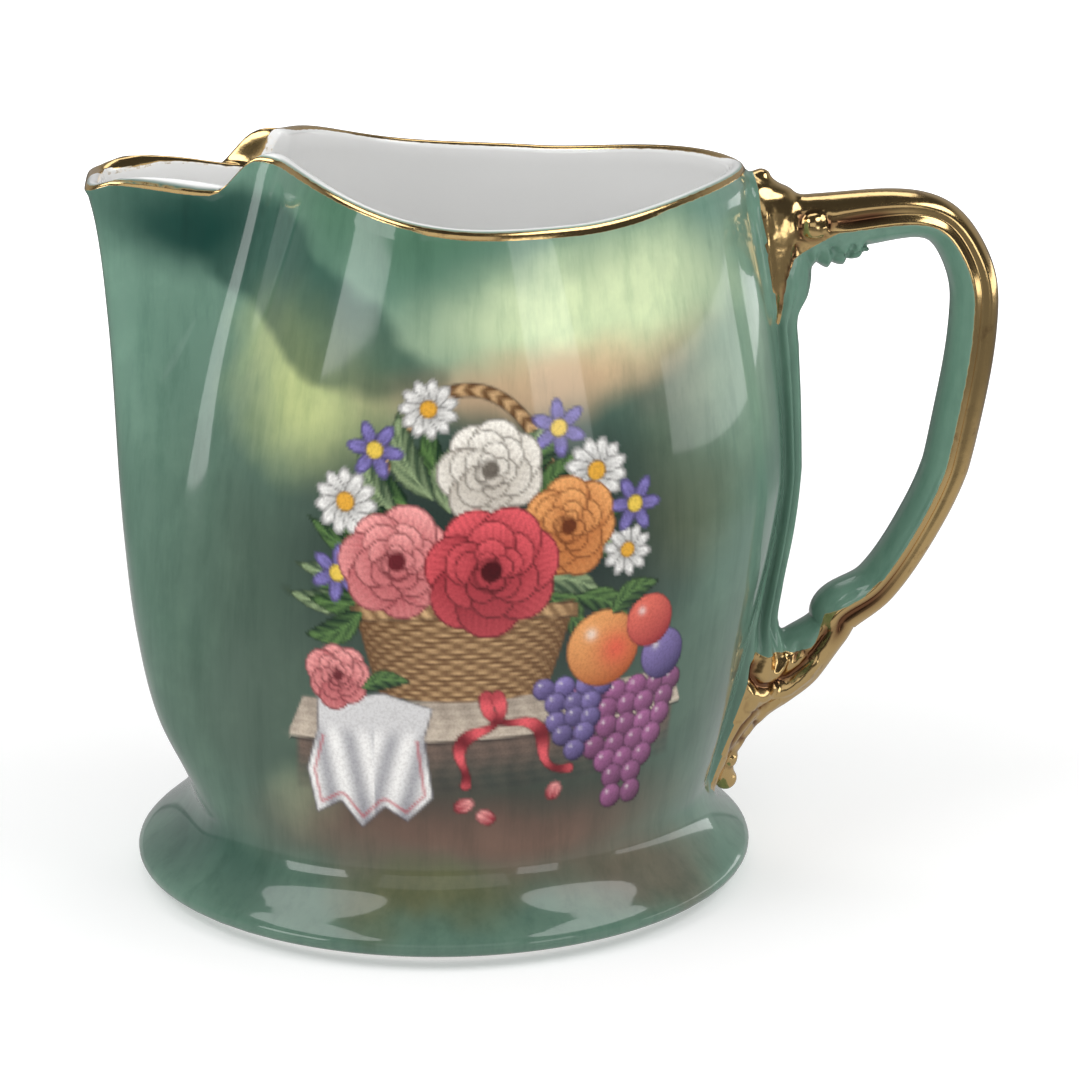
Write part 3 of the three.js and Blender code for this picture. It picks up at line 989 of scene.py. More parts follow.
def arm_offset(form, x, z):
    """How far places lie outside the arm's middle line, where along it, and if in the arm"""
    path_share = np.linspace(0, 1, 600)
    path_x, path_z, half_depth, _ = arm_path(form, path_share)
    reach = np.hypot(x[:, None] - path_x[None, :], z[:, None] - path_z[None, :])
    nearest = reach.argmin(axis=1)
    along_x = np.gradient(path_x)
    along_z = np.gradient(path_z)
    length = np.hypot(along_x, along_z)[nearest]
    offset = ((x - path_x[nearest]) * along_z[nearest]
              - (z - path_z[nearest]) * along_x[nearest]) / length
    close = reach.min(axis=1) < half_depth[nearest] + ARM_MARGIN
    return offset, path_share[nearest], close


# The painting is worked out in millimetres across and up on the near side. An edge or a line
# fades over EDGE, tones run from 0, dark, to 1, light, and a cover of 1 hides what is below.
EDGE = 0.3
OUTLINE = 0.12


def edge(distance, softness=EDGE):
    """Cover of a shape from the signed distance inside it"""
    return smooth(0.5 + distance / softness)


def tinted(colour, factor):
    return np.array(colour) * factor


def shades(dark, light, share):
    return np.array(dark) + (np.array(light) - np.array(dark)) * np.clip(share, 0, 1)[..., None]


class Painting:
    """Layers of enamel colour over points at millimetres across and up"""

    def __init__(self, across, up):
        self.across = across
        self.up = up
        self.colour = np.zeros((len(across), 3))
        self.cover = np.zeros(len(across))

    def lay(self, cover, colour):
        cover = np.clip(cover, 0, 1)
        total = cover + self.cover * (1 - cover)
        share = np.where(total > 0, cover / np.maximum(total, 1e-6), 0)[:, None]
        self.colour = self.colour * (1 - share) + np.asarray(colour) * share
        self.cover = total

    def line(self, distance, half_width, strength, colour, where=1, softness=EDGE):
        """A thin line where the distance is nothing"""
        self.lay(strength * edge(half_width - np.abs(distance), softness) * where, colour)

    def away(self, x, y):
        return np.hypot(self.across - x, self.up - y)

    def local(self, x, y, turn=0.0):
        """Coordinates about a place, with the first axis turned to the given angle"""
        dx = self.across - x
        dy = self.up - y
        return (dx * math.cos(turn) + dy * math.sin(turn),
                dy * math.cos(turn) - dx * math.sin(turn))


def paint_leaf(art, x, y, turn, length, width, dark, light):
    along, aside = art.local(x, y, turn)
    share = np.clip(along / length, 0, 1)
    bend = aside - 0.12 * length * np.sin(math.pi * share)
    half = width / 2 * np.sin(math.pi * share**0.8) ** 0.9
    half = half * (1 - 0.1 * np.abs(np.sin(9 * math.pi * share)))
    inside = np.where((along > 0) & (along < length), half - np.abs(bend), -1)
    tone = 0.5 + bend / width + 0.3 * np.sin(share * 26 - np.abs(bend) * 5)
    art.lay(edge(inside), shades(dark, light, tone))
    art.line(bend, 0.16, 0.7, tinted(light, 1.25), (along > 0) & (along < length * 0.92))
    art.line(inside - 0.05, OUTLINE, 0.6, tinted(dark, 0.5), inside > -0.4)


def paint_petal(art, x, y, turn, length, width, dark, light, line):
    """A rounded petal that grows from a place and is palest at its outer edge"""
    along, aside = art.local(x, y, turn)
    middle = length * 0.55
    reach = np.hypot((along - middle) / (length * 0.5), aside / (width * 0.5))
    inside = (1 - reach) * min(length, width) / 2
    tone = np.clip(along / length, 0, 1) ** 1.4 + 0.14 * np.sin(aside * 7)
    art.lay(edge(inside), shades(dark, light, tone))
    art.line(inside - 0.1, 0.13, 0.65, line, softness=0.22)


# Rings of a rose from the outside in: size as a share of its radius, and number of petals
ROSE_RINGS = ((1.0, 7), (0.76, 6), (0.53, 5), (0.34, 4))


def paint_rose(art, x, y, radius, dark, light, seed):
    random = np.random.default_rng(seed)
    line = tinted(dark, 0.35)
    for ring, (size, count) in enumerate(ROSE_RINGS):
        offset = random.uniform(0, 2 * math.pi)
        for number in range(count):
            turn = offset + 2 * math.pi * number / count + random.uniform(-0.12, 0.12)
            grow = radius * size * random.uniform(0.92, 1.05)
            low = shades(dark, light, np.array(0.1 + 0.12 * ring))
            high = shades(dark, light, np.array(0.75 + 0.3 * math.sin(turn) - 0.06 * ring))
            paint_petal(art, x, y, turn, grow, grow * 1.02, low, high, line)
    reach = art.away(x, y)
    art.lay(edge(0.17 * radius - reach, 0.5), tinted(dark, 0.45))
    angle = np.arctan2(art.up - y, art.across - x)
    whorl = np.abs((reach / (0.13 * radius) - angle / math.pi) % 2 - 1)
    art.lay(0.5 * edge(0.3 - whorl, 0.5) * (reach < 0.36 * radius), line)


def paint_daisy(art, x, y, radius, petals, colour, heart, seed):
    offset = np.random.default_rng(seed).uniform(0, math.pi)
    shadow = tinted(colour, 0.5)
    for number in range(petals):
        turn = offset + 2 * math.pi * number / petals
        paint_petal(art, x, y, turn, radius, radius * 0.5, shadow, colour, shadow * 0.4)
    middle = 0.3 * radius - art.away(x, y)
    art.lay(edge(middle), heart)
    art.line(middle, OUTLINE, 0.7, tinted(heart, 0.3))


def paint_fruit(art, x, y, radius, dark, light, blush=None):
    """A round fruit, lit from the upper left, with a dark side and a small highlight"""
    dx = (art.across - x) / radius
    dy = (art.up - y) / radius
    inside = (1 - np.hypot(dx, dy)) * radius
    tone = 0.55 + 0.45 * (-dx * 0.55 + dy * 0.8) - 0.35 * np.clip(np.hypot(dx, dy) - 0.6, 0, 1)
    colour = shades(dark, light, tone)
    if blush is not None:
        spot = np.exp(-((dx - 0.35) ** 2 + (dy + 0.05) ** 2) / 0.22)[:, None]
        colour = colour * (1 - 0.75 * spot) + np.array(blush) * 0.75 * spot
    art.lay(edge(inside), colour)
    art.line(inside - 0.05, OUTLINE, 0.5, tinted(dark, 0.4), inside > -0.3)
    glint = np.exp(-((dx + 0.36) ** 2 + (dy - 0.4) ** 2) / 0.022)
    art.lay(0.65 * glint, (0.8, 0.78, 0.74))


def paint_grapes(art, x, y, seed, columns, rows, radius, dark, light):
    random = np.random.default_rng(seed)
    for row in range(rows):
        wide = max(1, round(columns * (1 - row / rows) ** 0.7))
        for column in range(wide):
            gx = x + (column - (wide - 1) / 2) * radius * 1.75 + random.uniform(-0.3, 0.3)
            gy = y - row * radius * 1.45 + random.uniform(-0.25, 0.25)
            tint = random.uniform(0.8, 1.2)
            paint_fruit(art, gx, gy, radius, tinted(dark, tint), tinted(light, tint))


# Enamels: dark and light colour of each
CRIMSON = ((0.2, 0.008, 0.02), (0.75, 0.13, 0.15))
ROSE = ((0.36, 0.04, 0.06), (0.86, 0.4, 0.38))
IVORY = ((0.4, 0.35, 0.29), (0.9, 0.87, 0.8))
ORANGE = ((0.38, 0.1, 0.02), (0.82, 0.42, 0.16))
VIOLET = ((0.035, 0.02, 0.1), (0.3, 0.24, 0.5))
PURPLE = ((0.07, 0.012, 0.05), (0.42, 0.16, 0.34))
SCARLET = ((0.3, 0.02, 0.03), (0.78, 0.2, 0.14))
LEAF_GREEN = ((0.012, 0.045, 0.02), (0.12, 0.22, 0.07))
SAGE = ((0.05, 0.09, 0.05), (0.28, 0.36, 0.2))
STRAW = ((0.16, 0.08, 0.03), (0.66, 0.45, 0.24))
STRAW_LINE = (0.05, 0.022, 0.012)
STONE = ((0.13, 0.1, 0.08), (0.58, 0.5, 0.41))
STONE_FRONT = ((0.04, 0.035, 0.035), (0.2, 0.14, 0.11))
CLOTH = ((0.28, 0.28, 0.31), (0.85, 0.84, 0.82))


def paint_ledge(art):
    """Pale stone ledge under the basket, and its darker front"""
    left, right, back, front, bottom = -25.5, 31.0, 36.0, 30.5, 23.0
    slope = 0.035 * (art.across - 3)
    ends = np.minimum(art.across - left, right - art.across)
    up = art.up - slope
    face = np.minimum(np.minimum(up - bottom, front - up), ends - 1.5)
    grain = 0.12 * np.sin(art.across * 2.1 + np.sin(up * 1.3)) + 0.1 * np.sin(up * 5)
    fade = smooth((up - bottom) / 6)
    tone = 0.2 + 0.6 * fade + grain
    art.lay(edge(face, 1.2) * (0.35 + 0.6 * fade), shades(*STONE_FRONT, tone))
    top = np.minimum(np.minimum(up - front, back - up), ends - 0.8 * (up - front) * 0.5)
    art.lay(edge(top, 0.5), shades(*STONE, 0.62 + 0.3 * smooth((back - up) / 6) + grain * 0.8))
    art.line(up - front, 0.22, 0.85, STONE[1], ends > 0)
    art.line(up - front + 0.5, 0.16, 0.6, (0.03, 0.02, 0.02), ends > 0)


def paint_basket(art, x, y, half, height):
    """Straw basket: a flaring side woven over upright stakes, with a plaited rim"""
    dx = art.across - x
    dy = art.up - y
    share = np.clip(dy / height, 0, 1)
    width = half * mix(0.72, 1.0, share**0.8)
    sag = 0.035 * dx**2 / 4
    inside = np.minimum(np.minimum(dy - sag * 0.8, height - dy + sag * 0.4), width - np.abs(dx))
    turn = np.arcsin(np.clip(dx / np.maximum(width, 1e-3), -1, 1))
    stakes = turn * 7.5
    rows = (dy - sag * 0.7) * 1.35
    weave = np.abs(np.sin(math.pi * rows)) * (0.6 + 0.4 * np.sin(math.pi * (stakes + np.floor(rows))))
    round_shade = np.cos(turn) ** 0.7
    art.lay(edge(inside, 0.4), shades(*STRAW, (0.1 + 0.85 * weave) * round_shade - 0.12))
    rim = 0.95 - np.abs(dy - height + sag * 0.4)
    rim = np.minimum(rim, half * 1.04 - np.abs(dx))
    plait = 0.5 + 0.5 * np.sin(dx * 3.2 + (dy - height) * 2.4)
    art.lay(edge(rim), shades(*STRAW, 0.2 + 0.8 * plait * round_shade))
    art.line(rim, 0.14, 0.6, STRAW_LINE, rim > -0.3)


def paint_hoop(art, x, y, half, height):
    """The basket's high handle, bound round with straw"""
    turns = np.linspace(0, math.pi, 40)
    line = side_by_side(x + half * np.cos(turns), y + height * np.sin(turns) ** 0.8)
    distance, place = segment_distance(art.across, art.up, line)
    bound = 0.5 + 0.5 * np.sin(place * 210 + distance * 3)
    art.lay(edge(0.85 - distance), shades(*STRAW, 0.1 + 0.8 * bound - 0.3 * distance))
    art.line(distance - 0.85, 0.14, 0.5, STRAW_LINE)


def paint_cloth(art):
    """White cloth that hangs in folds over the ledge"""
    outline = [(-21, 35.2), (-12, 36.6), (-5.5, 34.6), (-6.5, 30.5), (-5.2, 22), (-8.5, 18.6),
               (-11.5, 20.6), (-14.5, 17.4), (-17.5, 21), (-21, 18.8), (-22.4, 25), (-21, 30.8)]
    inside = inside_outline(art.across, art.up, outline)
    folds = (np.sin((art.across + 0.22 * (36 - art.up) * np.sign(art.across + 13)) * 1.5)
             * smooth((32.5 - art.up) / 3))
    tone = 0.62 + 0.36 * folds - 0.16 * smooth((24 - art.up) / 5)
    art.lay(edge(inside, 0.45), shades(*CLOTH, tone))
    art.line(inside - 1.0, 0.2, 0.6, (0.5, 0.06, 0.08), art.up < 30, 0.3)
    art.line(inside, OUTLINE, 0.6, (0.07, 0.06, 0.08))


def paint_ribbon(art, line, width, dark, light):
    distance, place = segment_distance(art.across, art.up, line)
    half = width / 2 * (0.75 + 0.25 * np.cos(place * 11))
    art.lay(edge(half - distance), shades(dark, light, 0.5 + 0.5 * np.sin(place * 19)))
    art.line(distance - half, OUTLINE, 0.5, tinted(dark, 0.4))


def curl(x, y, points, bend, turn):
    """Places along a ribbon that curls as it goes, a little more than a millimetre apart"""
    places = [(x, y)]
    for number in range(points):
        turn += bend * math.sin(number * 0.55)
        x += 1.1 * math.cos(turn)
        y += 1.1 * math.sin(turn)
        places.append((x, y))
    return places


def near_side_picture(across, up):
    """The picture on the side that faces the camera: a basket of flowers, with fruit"""
    art = Painting(across, up)
    shadow = np.exp(-((across - 3) / 27) ** 4 - ((up - 22) / 5.5) ** 2)
    art.lay(0.55 * shadow, (0.03, 0.028, 0.026))
    halo = np.exp(-((across - 1) / 24) ** 4 - ((up - 54) / 19) ** 4)
    art.lay(0.7 * halo, (0.028, 0.05, 0.042))
    paint_hoop(art, -1.5, 46, 13.5, 31)
    paint_ledge(art)
    greens = np.random.default_rng(11)
    for number in range(26):
        turn = math.radians(-25 + 230 * number / 25) + greens.uniform(-0.1, 0.1)
        start = 6 + greens.uniform(0, 4)
        x = -1.5 + start * 1.35 * math.cos(turn)
        y = 54 + start * math.sin(turn)
        pair = LEAF_GREEN if greens.uniform() < 0.62 else SAGE
        paint_leaf(art, x, y, turn + greens.uniform(-0.35, 0.35), greens.uniform(9, 14),
                   greens.uniform(3.4, 5), *pair)
    paint_basket(art, -1.5, 35.5, 14.5, 12.5)
    for x, y, radius, petals, seed in ((-17.5, 62, 4.2, 11, 1), (15.8, 65.5, 4.2, 12, 2),
                                       (-6.5, 74.5, 3.7, 11, 3), (20.5, 54.5, 3.4, 10, 4)):
        paint_daisy(art, x, y, radius, petals, (0.88, 0.87, 0.84), (0.72, 0.4, 0.05), seed)
    for x, y, seed in ((-18.5, 52.5, 5), (10.5, 71.5, 6), (-13.5, 69, 7), (21.5, 60.5, 8)):
        paint_daisy(art, x, y, 3.7, 6, (0.28, 0.24, 0.56), (0.75, 0.55, 0.1), seed)
    for x, y, radius, pair, seed in (
            (-10.5, 54.5, 7.2, ROSE, 21), (1.5, 66.5, 6.8, IVORY, 22),
            (12, 58.5, 6.6, ORANGE, 23), (1.8, 53.2, 8.4, CRIMSON, 24)):
        paint_rose(art, x, y, radius, *pair, seed)
    paint_leaf(art, -15, 47.5, math.radians(205), 9, 4, *LEAF_GREEN)
    paint_leaf(art, 13.5, 49, math.radians(-30), 9, 4, *LEAF_GREEN)
    paint_cloth(art)
    paint_rose(art, -18.2, 38.6, 4.5, *ROSE, 25)
    paint_leaf(art, -14.8, 37.2, math.radians(10), 6.5, 2.8, *LEAF_GREEN)
    paint_leaf(art, 16, 33.5, math.radians(-75), 9, 4.2, *SAGE)
    paint_grapes(art, 21.5, 35, 31, 6, 7, 1.75, *PURPLE)
    paint_grapes(art, 13.5, 36.5, 32, 4, 5, 1.55, *VIOLET)
    paint_fruit(art, 17.5, 41.4, 5.3, *ORANGE, blush=(0.72, 0.1, 0.07))
    paint_fruit(art, 27, 39, 3.6, *VIOLET)
    paint_fruit(art, 24.5, 44.2, 3.7, *SCARLET)
    paint_leaf(art, 18.5, 46.2, math.radians(25), 8, 3.6, *LEAF_GREEN)
    paint_ribbon(art, curl(1.5, 36, 17, 0.42, -1.5), 1.9, *CRIMSON)
    paint_ribbon(art, curl(3.0, 36, 14, -0.45, -1.2), 1.9, *CRIMSON)
    for x, y, turn in ((-2.5, 20.2, 0.4), (3.2, 18.2, 2.6), (10.5, 20.5, 1.2)):
        paint_petal(art, x, y, turn, 2.8, 2.2, *ROSE, (0.12, 0.02, 0.02))
    return art


# Enamels sink and deepen in the firing: the power that each painted colour is raised to
ENAMEL_DEPTH = 1.15
# Middle of the picture across the near side, as an angle round the body's own middle
PICTURE_MIDDLE = math.radians(-88)


def unrolled(form, points):
    """Millimetres across from the middle of the near side, by arc length round the body"""
    angles = np.linspace(-math.pi, math.pi, 1441)
    shares = np.linspace(0, 1, 41)
    radius = form.radius(angles[None, :], shares[:, None] + 0 * angles[None, :])
    line = np.stack([radius * np.cos(angles), radius * np.sin(angles)], axis=-1)
    steps = np.linalg.norm(np.diff(line, axis=1), axis=2)
    arcs = np.concatenate([np.zeros((len(shares), 1)), np.cumsum(steps, axis=1)], axis=1)
    middle = np.interp(PICTURE_MIDDLE, angles, np.arange(len(angles)))
    arcs -= arcs[:, round(middle)][:, None]
    share = np.clip((points[:, 2] - NECK_HEIGHT) / (form.rim_height - NECK_HEIGHT), 0, 1)
    angle = np.arctan2(points[:, 1], points[:, 0] - MOUTH_MIDDLE * share)
    row = share * (len(shares) - 1)
    column = (angle + math.pi) / (2 * math.pi) * (len(angles) - 1)
    row0 = np.clip(row.astype(int), 0, len(shares) - 2)
    column0 = np.clip(column.astype(int), 0, len(angles) - 2)
    fr = row - row0
    fc = column - column0
    low = mix(arcs[row0, column0], arcs[row0, column0 + 1], fc)
    high = mix(arcs[row0 + 1, column0], arcs[row0 + 1, column0 + 1], fc)
    return mix(low, high, fr), angle, share


# Above this share of the height the depth of a point is measured to the nearest place outside
# it, which is looked for within this turn to both sides
LIP_SHARE = 0.8
LIP_TURN = 0.5
SMALL_TURN = 0.002


def depth_below_surface(form, points, angle, share):
    """How far a point lies inside the outer surface, towards the body's middle"""
    reach = np.hypot(points[:, 0] - MOUTH_MIDDLE * share, points[:, 1])
    slope = (form.radius(angle + SMALL_TURN, share)
             - form.radius(angle - SMALL_TURN, share)) / (2 * SMALL_TURN)
    radius = form.radius(angle, share)
    depth = (radius - reach) / np.hypot(1, slope / radius)
    high = np.flatnonzero(share > LIP_SHARE)
    around = angle[high, None] + np.linspace(-LIP_TURN, LIP_TURN, 161)
    radius = form.radius(around, share[high, None] + 0 * around)
    away_x = points[high, 0, None] - MOUTH_MIDDLE * share[high, None] - radius * np.cos(around)
    away_y = points[high, 1, None] - radius * np.sin(around)
    depth[high] = np.sign(depth[high]) * np.hypot(away_x, away_y).min(axis=1)
    return depth


# Gold on the handle: outlines in the plane of the handle, in millimetres out from the foot's
# axis and up. Gold lies outside the middle line of the arm and within these patches.
BRACKET_GOLD = [(42.2, 103), (43.2, 96), (43.9, 88), (45.0, 82), (45.9, 76.4), (46.6, 77.5),
                (47.3, 83.4), (48.4, 86.4), (50.4, 87.6), (53, 89.2), (56, 91), (58, 91), (58, 103)]
SCROLL_GOLD = [(35, 4), (35.9, 12.6), (37.1, 16.3), (38.3, 20.8), (40.5, 24.5), (41.8, 29.5),
               (43.2, 31.2), (44.9, 30.2), (46.7, 30.2), (49.6, 29.6), (52.4, 30.6), (53.2, 33.1),
               (53.8, 35.2), (58.7, 37.3), (61.5, 40.2), (66, 40), (66, 4)]
# The foot knob's middle out and up and its reach. Below the height, only the knob and the arm
# are gilded.
GILDED_KNOB = (41, 10, 3.4)
GILDED_LOW = 14
GOLD_CLEARANCE = 0.4
ARM_GOLD_CLEARANCE = 7
# Gold band on the rim, along its surface: how far from the outer edge it starts, its width on
# the near side, and how much wider it is on the far side and on the spout's far lip
BAND_START = 0.2
BAND_WIDTH = 0.95
BAND_FAR = 1.7
BAND_SPOUT = 0.75
# Distance given to places that have no gold near them
NO_GOLD = -9.0


def gilding_distance(form, points, angle, share, depth):
    """Millimetres inside the border of the gilding, negative outside it"""
    rim_x = MOUTH_MIDDLE + form.radius(angle, np.ones_like(angle)) * np.cos(angle)
    roll = form.rim_wall / 2
    drop = form.rim_height + form.rim_lift(rim_x) - roll - points[:, 2]
    turn = np.arccos(np.clip(1 - depth / roll, -1, 1))
    below = np.where(depth < roll, -drop, math.pi * roll + drop)
    across = np.where(drop < 0.02, roll * turn, below)
    far = smooth((points[:, 1] + 3) / 9)
    spout = smooth((-rim_x - 14) / 14)
    width = BAND_WIDTH + BAND_FAR * far + BAND_SPOUT * far * spout
    rim = np.minimum(across - BAND_START + 0.4 * far, width - across)
    rim = np.where(points[:, 0] > RIM_REACH + 1.2, NO_GOLD, rim)

    handle = ((points[:, 0] > form.side_reach(points[:, 2]) + GOLD_CLEARANCE)
              & (np.abs(points[:, 1]) < HANDLE_HALF_WIDTH))
    flare = form.foot_radius - EDGE_SHOULDER - NECK_REACH
    spread = np.clip((np.hypot(points[:, 0], points[:, 1]) - NECK_REACH) / flare, 0, 1)
    handle &= points[:, 2] > mix(NECK_HEIGHT, FOOT_EDGE, np.sqrt(spread)) + 0.5
    chosen = np.flatnonzero(handle)
    x = points[chosen, 0]
    z = points[chosen, 2]
    offset, _, close = arm_offset(form, x, z)
    clear = x > form.side_reach(z) + ARM_GOLD_CLEARANCE
    arm = np.where(close & clear, offset - ARM_GOLD_LINE, NO_GOLD)
    knob_x, knob_z, knob_reach = GILDED_KNOB
    knob = np.hypot(x - knob_x, z - knob_z) < knob_reach
    scroll = np.where(close | knob | (z > GILDED_LOW), inside_outline(x, z, SCROLL_GOLD), NO_GOLD)
    gold = np.full(len(points), NO_GOLD)
    gold[chosen] = np.maximum(np.maximum(arm, inside_outline(x, z, BRACKET_GOLD)), scroll)
    return np.maximum(rim, gold)


# Part of the near side that can hold paint, and the depth below the surface that it reaches
PAINTED_LEFT = -34
PAINTED_RIGHT = 40
PAINTED_LOW = 12
PAINTED_HIGH = 90
PAINTED_DEPTH = 0.8


def set_attributes(mesh, form):
    """Writes the picture, the gilding and the white inside on the mesh's vertices"""
    points = about_foot(vertex_places(mesh))
    across, angle, share = unrolled(form, points)
    depth = depth_below_surface(form, points, angle, share)
    height = points[:, 2]
    picture = np.zeros((len(points), 4), np.float32)
    painted = ((depth < PAINTED_DEPTH) & (across > PAINTED_LEFT) & (across < PAINTED_RIGHT)
               & (height > PAINTED_LOW) & (height < PAINTED_HIGH) & (angle < 0))
    art = near_side_picture(across[painted], height[painted])
    picture[painted, :3] = np.clip(art.colour, 0, 1) ** ENAMEL_DEPTH
    picture[painted, 3] = art.cover
    colours = mesh.color_attributes.new("picture", "FLOAT_COLOR", "POINT")
    colours.data.foreach_set("color", picture.ravel())
    write_values(mesh, "gilding", gilding_distance(form, points, angle, share, depth))
    roll = form.rim_wall / 2
    inside = np.where(height > FLOOR_HEIGHT - 1, smooth((depth - 0.35 * roll) / (0.5 * roll)), 0)
    recess = (np.hypot(points[:, 0], points[:, 1]) < form.foot_radius - FOOT_TUCK) & (height < 4)
    under = np.maximum(smooth((0.9 - height) / 0.5), recess)
    write_values(mesh, "white", np.maximum(inside, under))


def glow_group():
    """A soft-edged spot of sprayed colour, or a band of painted shade: 1 at its middle, 0 outside it
    """
    tree = new_tree(
        "Sprayed spot", "ShaderNodeTree",
        [(name, "Vector") for name in ("Place", "Middle", "Size")]
        + [(name, "Float") for name in ("Tilt", "Softness", "Strength")], ("Mask", "Float"))
    make = NodeMaker(tree)
    given = make.add("NodeGroupInput").outputs
    away = make.vector("SUBTRACT", given["Place"], given["Middle"])
    turned = make.add("ShaderNodeVectorRotate", {"Vector": away, "Angle": given["Tilt"]},
                      rotation_type="Y_AXIS").outputs["Vector"]
    reach = make.vector("LENGTH", make.vector("DIVIDE", turned, given["Size"]))
    spot = make.step(reach, 1.0, make.math("SUBTRACT", 1.0, given["Softness"]))
    make.add("NodeGroupOutput", {"Mask": make.math("MULTIPLY", spot, given["Strength"])})
    return tree


# Sprayed colours of the ground, and one band of painted shade: colour, middle and size in millimetres
# about the foot's axis on either side, tilt in degrees, softness of the edge, and strength
SPOTS = (
    ("shade", (-4, 30, 39), (70, 64, 62), 0, 0.75, 1.0),
    ("deep", (9, 38, 55), (38, 30, 29), 0, 0.85, 1.0),
    ("earth", (4, 36, 16), (46, 28, 11), 0, 0.85, 1.0),
    ("mint", (20, 34, 86), (37, 32, 13), 0, 0.8, 1.0),
    ("peach", (12, 34, 78), (38, 24, 7.5), 4, 0.85, 0.85),
    ("earth", (30, 26, 74), (11, 26, 8), 0, 0.85, 0.35),
    ("lime", (-19, 28, 76), (15, 26, 16), 0, 0.9, 1.0),
    ("moss", (-9, 30, 100), (30, 28, 14), 0, 0.8, 0.85),
    ("teal", (-36, 10, 95), (19, 28, 9), -12, 0.85, 0.95),
    # Painted shade: a dark band whose sharp lower edge stands for the border of a reflection in the
    # glaze
    ("teal", (-22, 28, 89), (26, 40, 7.5), -34, 0.3, 0.65),
    ("teal", (-38, 14, 8), (26, 28, 9), 0, 0.85, 0.6),
    ("shade", (36, 24, 27), (14, 26, 17), 0, 0.9, 0.4),
    ("mint", (38, 16, 76), (14, 24, 16), 0, 0.9, 0.15),
    ("olive", (31, 26, 60), (12, 26, 15), 0, 0.85, 0.5),
    ("olive", (-6, 40, 8), (18, 18, 5), 0, 0.85, 0.9),
    ("earth", (27, 30, 8), (20, 24, 6), 0, 0.85, 0.6),
    ("mint", (-19, 32, 20), (9, 20, 8), 0, 0.9, 0.2),
)


def grey(level):
    return (level, level, level)


def glaze_material(colours):
    """Sprayed ground, painted picture, white inside and gilding under one clear glaze, with painted
    shade in a band on the shoulder and in the gold's hollows
    """
    material = bpy.data.materials.new("shaded_glaze")
    material.use_nodes = True
    material.node_tree.nodes.clear()
    make = NodeMaker(material.node_tree)
    place = make.add("ShaderNodeTexCoord").outputs["Object"]
    x, y, z = make.parts(make.vector("SUBTRACT", place, (FOOT_AXIS * MM, 0, 0)))

    # Sprayed ground with one band of painted shade, the same on both sides, whose spots drift up to 7
    # mm from their places
    folded = make.together(x, make.math("ABSOLUTE", y), z)
    drift = make.vector("SUBTRACT", make.noise(place, 45, output="Color"), grey(0.5))
    spot_place = make.vector("ADD", folded, make.vector("MULTIPLY", drift, grey(0.014)))
    spot = glow_group()
    colour = make.add("ShaderNodeRGB").outputs[0]
    colour.default_value = (*colours.green, 1)
    for name, middle, size, tilt, softness, strength in SPOTS:
        mask = make.add("ShaderNodeGroup", node_tree=spot, inputs={
            "Place": spot_place, "Middle": [side * MM for side in middle],
            "Size": [side * MM for side in size], "Tilt": math.radians(tilt),
            "Softness": softness, "Strength": strength}).outputs[0]
        colour = make.mix(mask, colour, tuple(getattr(colours, name)))

    # Brushed streaks that run down the sides, and fine clouding of the enamel
    streaks = make.noise(make.vector("MULTIPLY", place, (1, 1, 0.12)), 420, 5, 0.65)
    colour = make.mix(make.step(streaks, 0.4, 0.75), colour,
                      make.times(colour, (0.78, 0.83, 0.82)))
    clouds = make.noise(place, 130, 4, 0.6)
    lighter = make.times(colour, (1.16, 1.14, 1.13))
    colour = make.mix(make.step(clouds, 0.42, 0.72), colour, lighter)

    # Painted picture, with the grain of the enamel
    picture = make.attribute("picture")
    toned = make.mix(make.step(make.noise(place, 2600, 2), 0.35, 0.75), picture["Color"],
                     make.times(picture["Color"], (0.83, 0.82, 0.82)))
    colour = make.mix(picture["Alpha"], colour, toned)

    # White inside, and bare porcelain where the foot stands
    colour = make.mix(make.attribute("white")["Fac"], colour, tuple(colours.white))
    bare = make.step(z, 0.00045, 0.00015)
    colour = make.mix(bare, colour, tuple(colours.bisque))

    # Gilding with an uneven border, worn thin in places, and with painted shade in its hollows near
    # the body
    waver = make.math("SUBTRACT", make.noise(place, 900, 3, 0.6), 0.5)
    border = make.math("ADD", make.attribute("gilding")["Fac"], make.math("MULTIPLY", waver, 0.3))
    gold = make.step(border, -0.08, 0.08)
    thin = make.math("MULTIPLY", make.step(make.noise(place, 420, 5, 0.65), 0.55, 0.75), 0.45)
    # Painted shade: gold in the hollows near the body turns as dark as worn gold
    thin = make.math("MAXIMUM", thin, make.attribute("sunk")["Fac"])
    colour = make.mix(gold, colour, make.mix(thin, tuple(colours.gold), tuple(colours.worn_and_shaded_gold)))

    # Fine ripple of the glaze, specks in the gold, and dents in the gold near the body
    speck = make.noise(place, 1500, 3, 0.6)
    ripple = make.noise(place, 160, 2)
    height = make.math("MULTIPLY_ADD", speck, make.math("MULTIPLY", gold, 0.12), ripple)
    low_bracket = make.math("MULTIPLY", make.step(x, 0.058, 0.05), make.step(z, 0.096, 0.092))
    beaten = make.math("MULTIPLY", make.math("MULTIPLY", gold, low_bracket), 2.2)
    height = make.math("MULTIPLY_ADD", make.noise(place, 320, 2), beaten, height)
    bump = make.add("ShaderNodeBump", {"Strength": 0.35, "Distance": 0.00022, "Height": height})

    # Rougher where it is bare, smoother where it is gilded, and glazed elsewhere
    rough = make.math("MULTIPLY_ADD", gold, -0.14, make.math("MULTIPLY_ADD", bare, 0.5, 0.3))
    coat = make.math("SUBTRACT", 1.0, make.math("MAXIMUM", gold, bare), clamp=True)
    shader = make.add("ShaderNodeBsdfPrincipled", {
        "Base Color": colour, "Metallic": gold, "Roughness": rough, "Coat Weight": coat,
        "Coat Roughness": 0.06, "Coat IOR": 1.5, "Specular IOR Level": 0.15,
        "Normal": bump.outputs["Normal"]})
    make.add("ShaderNodeOutputMaterial", {"Surface": shader.outputs[0]})
    return material


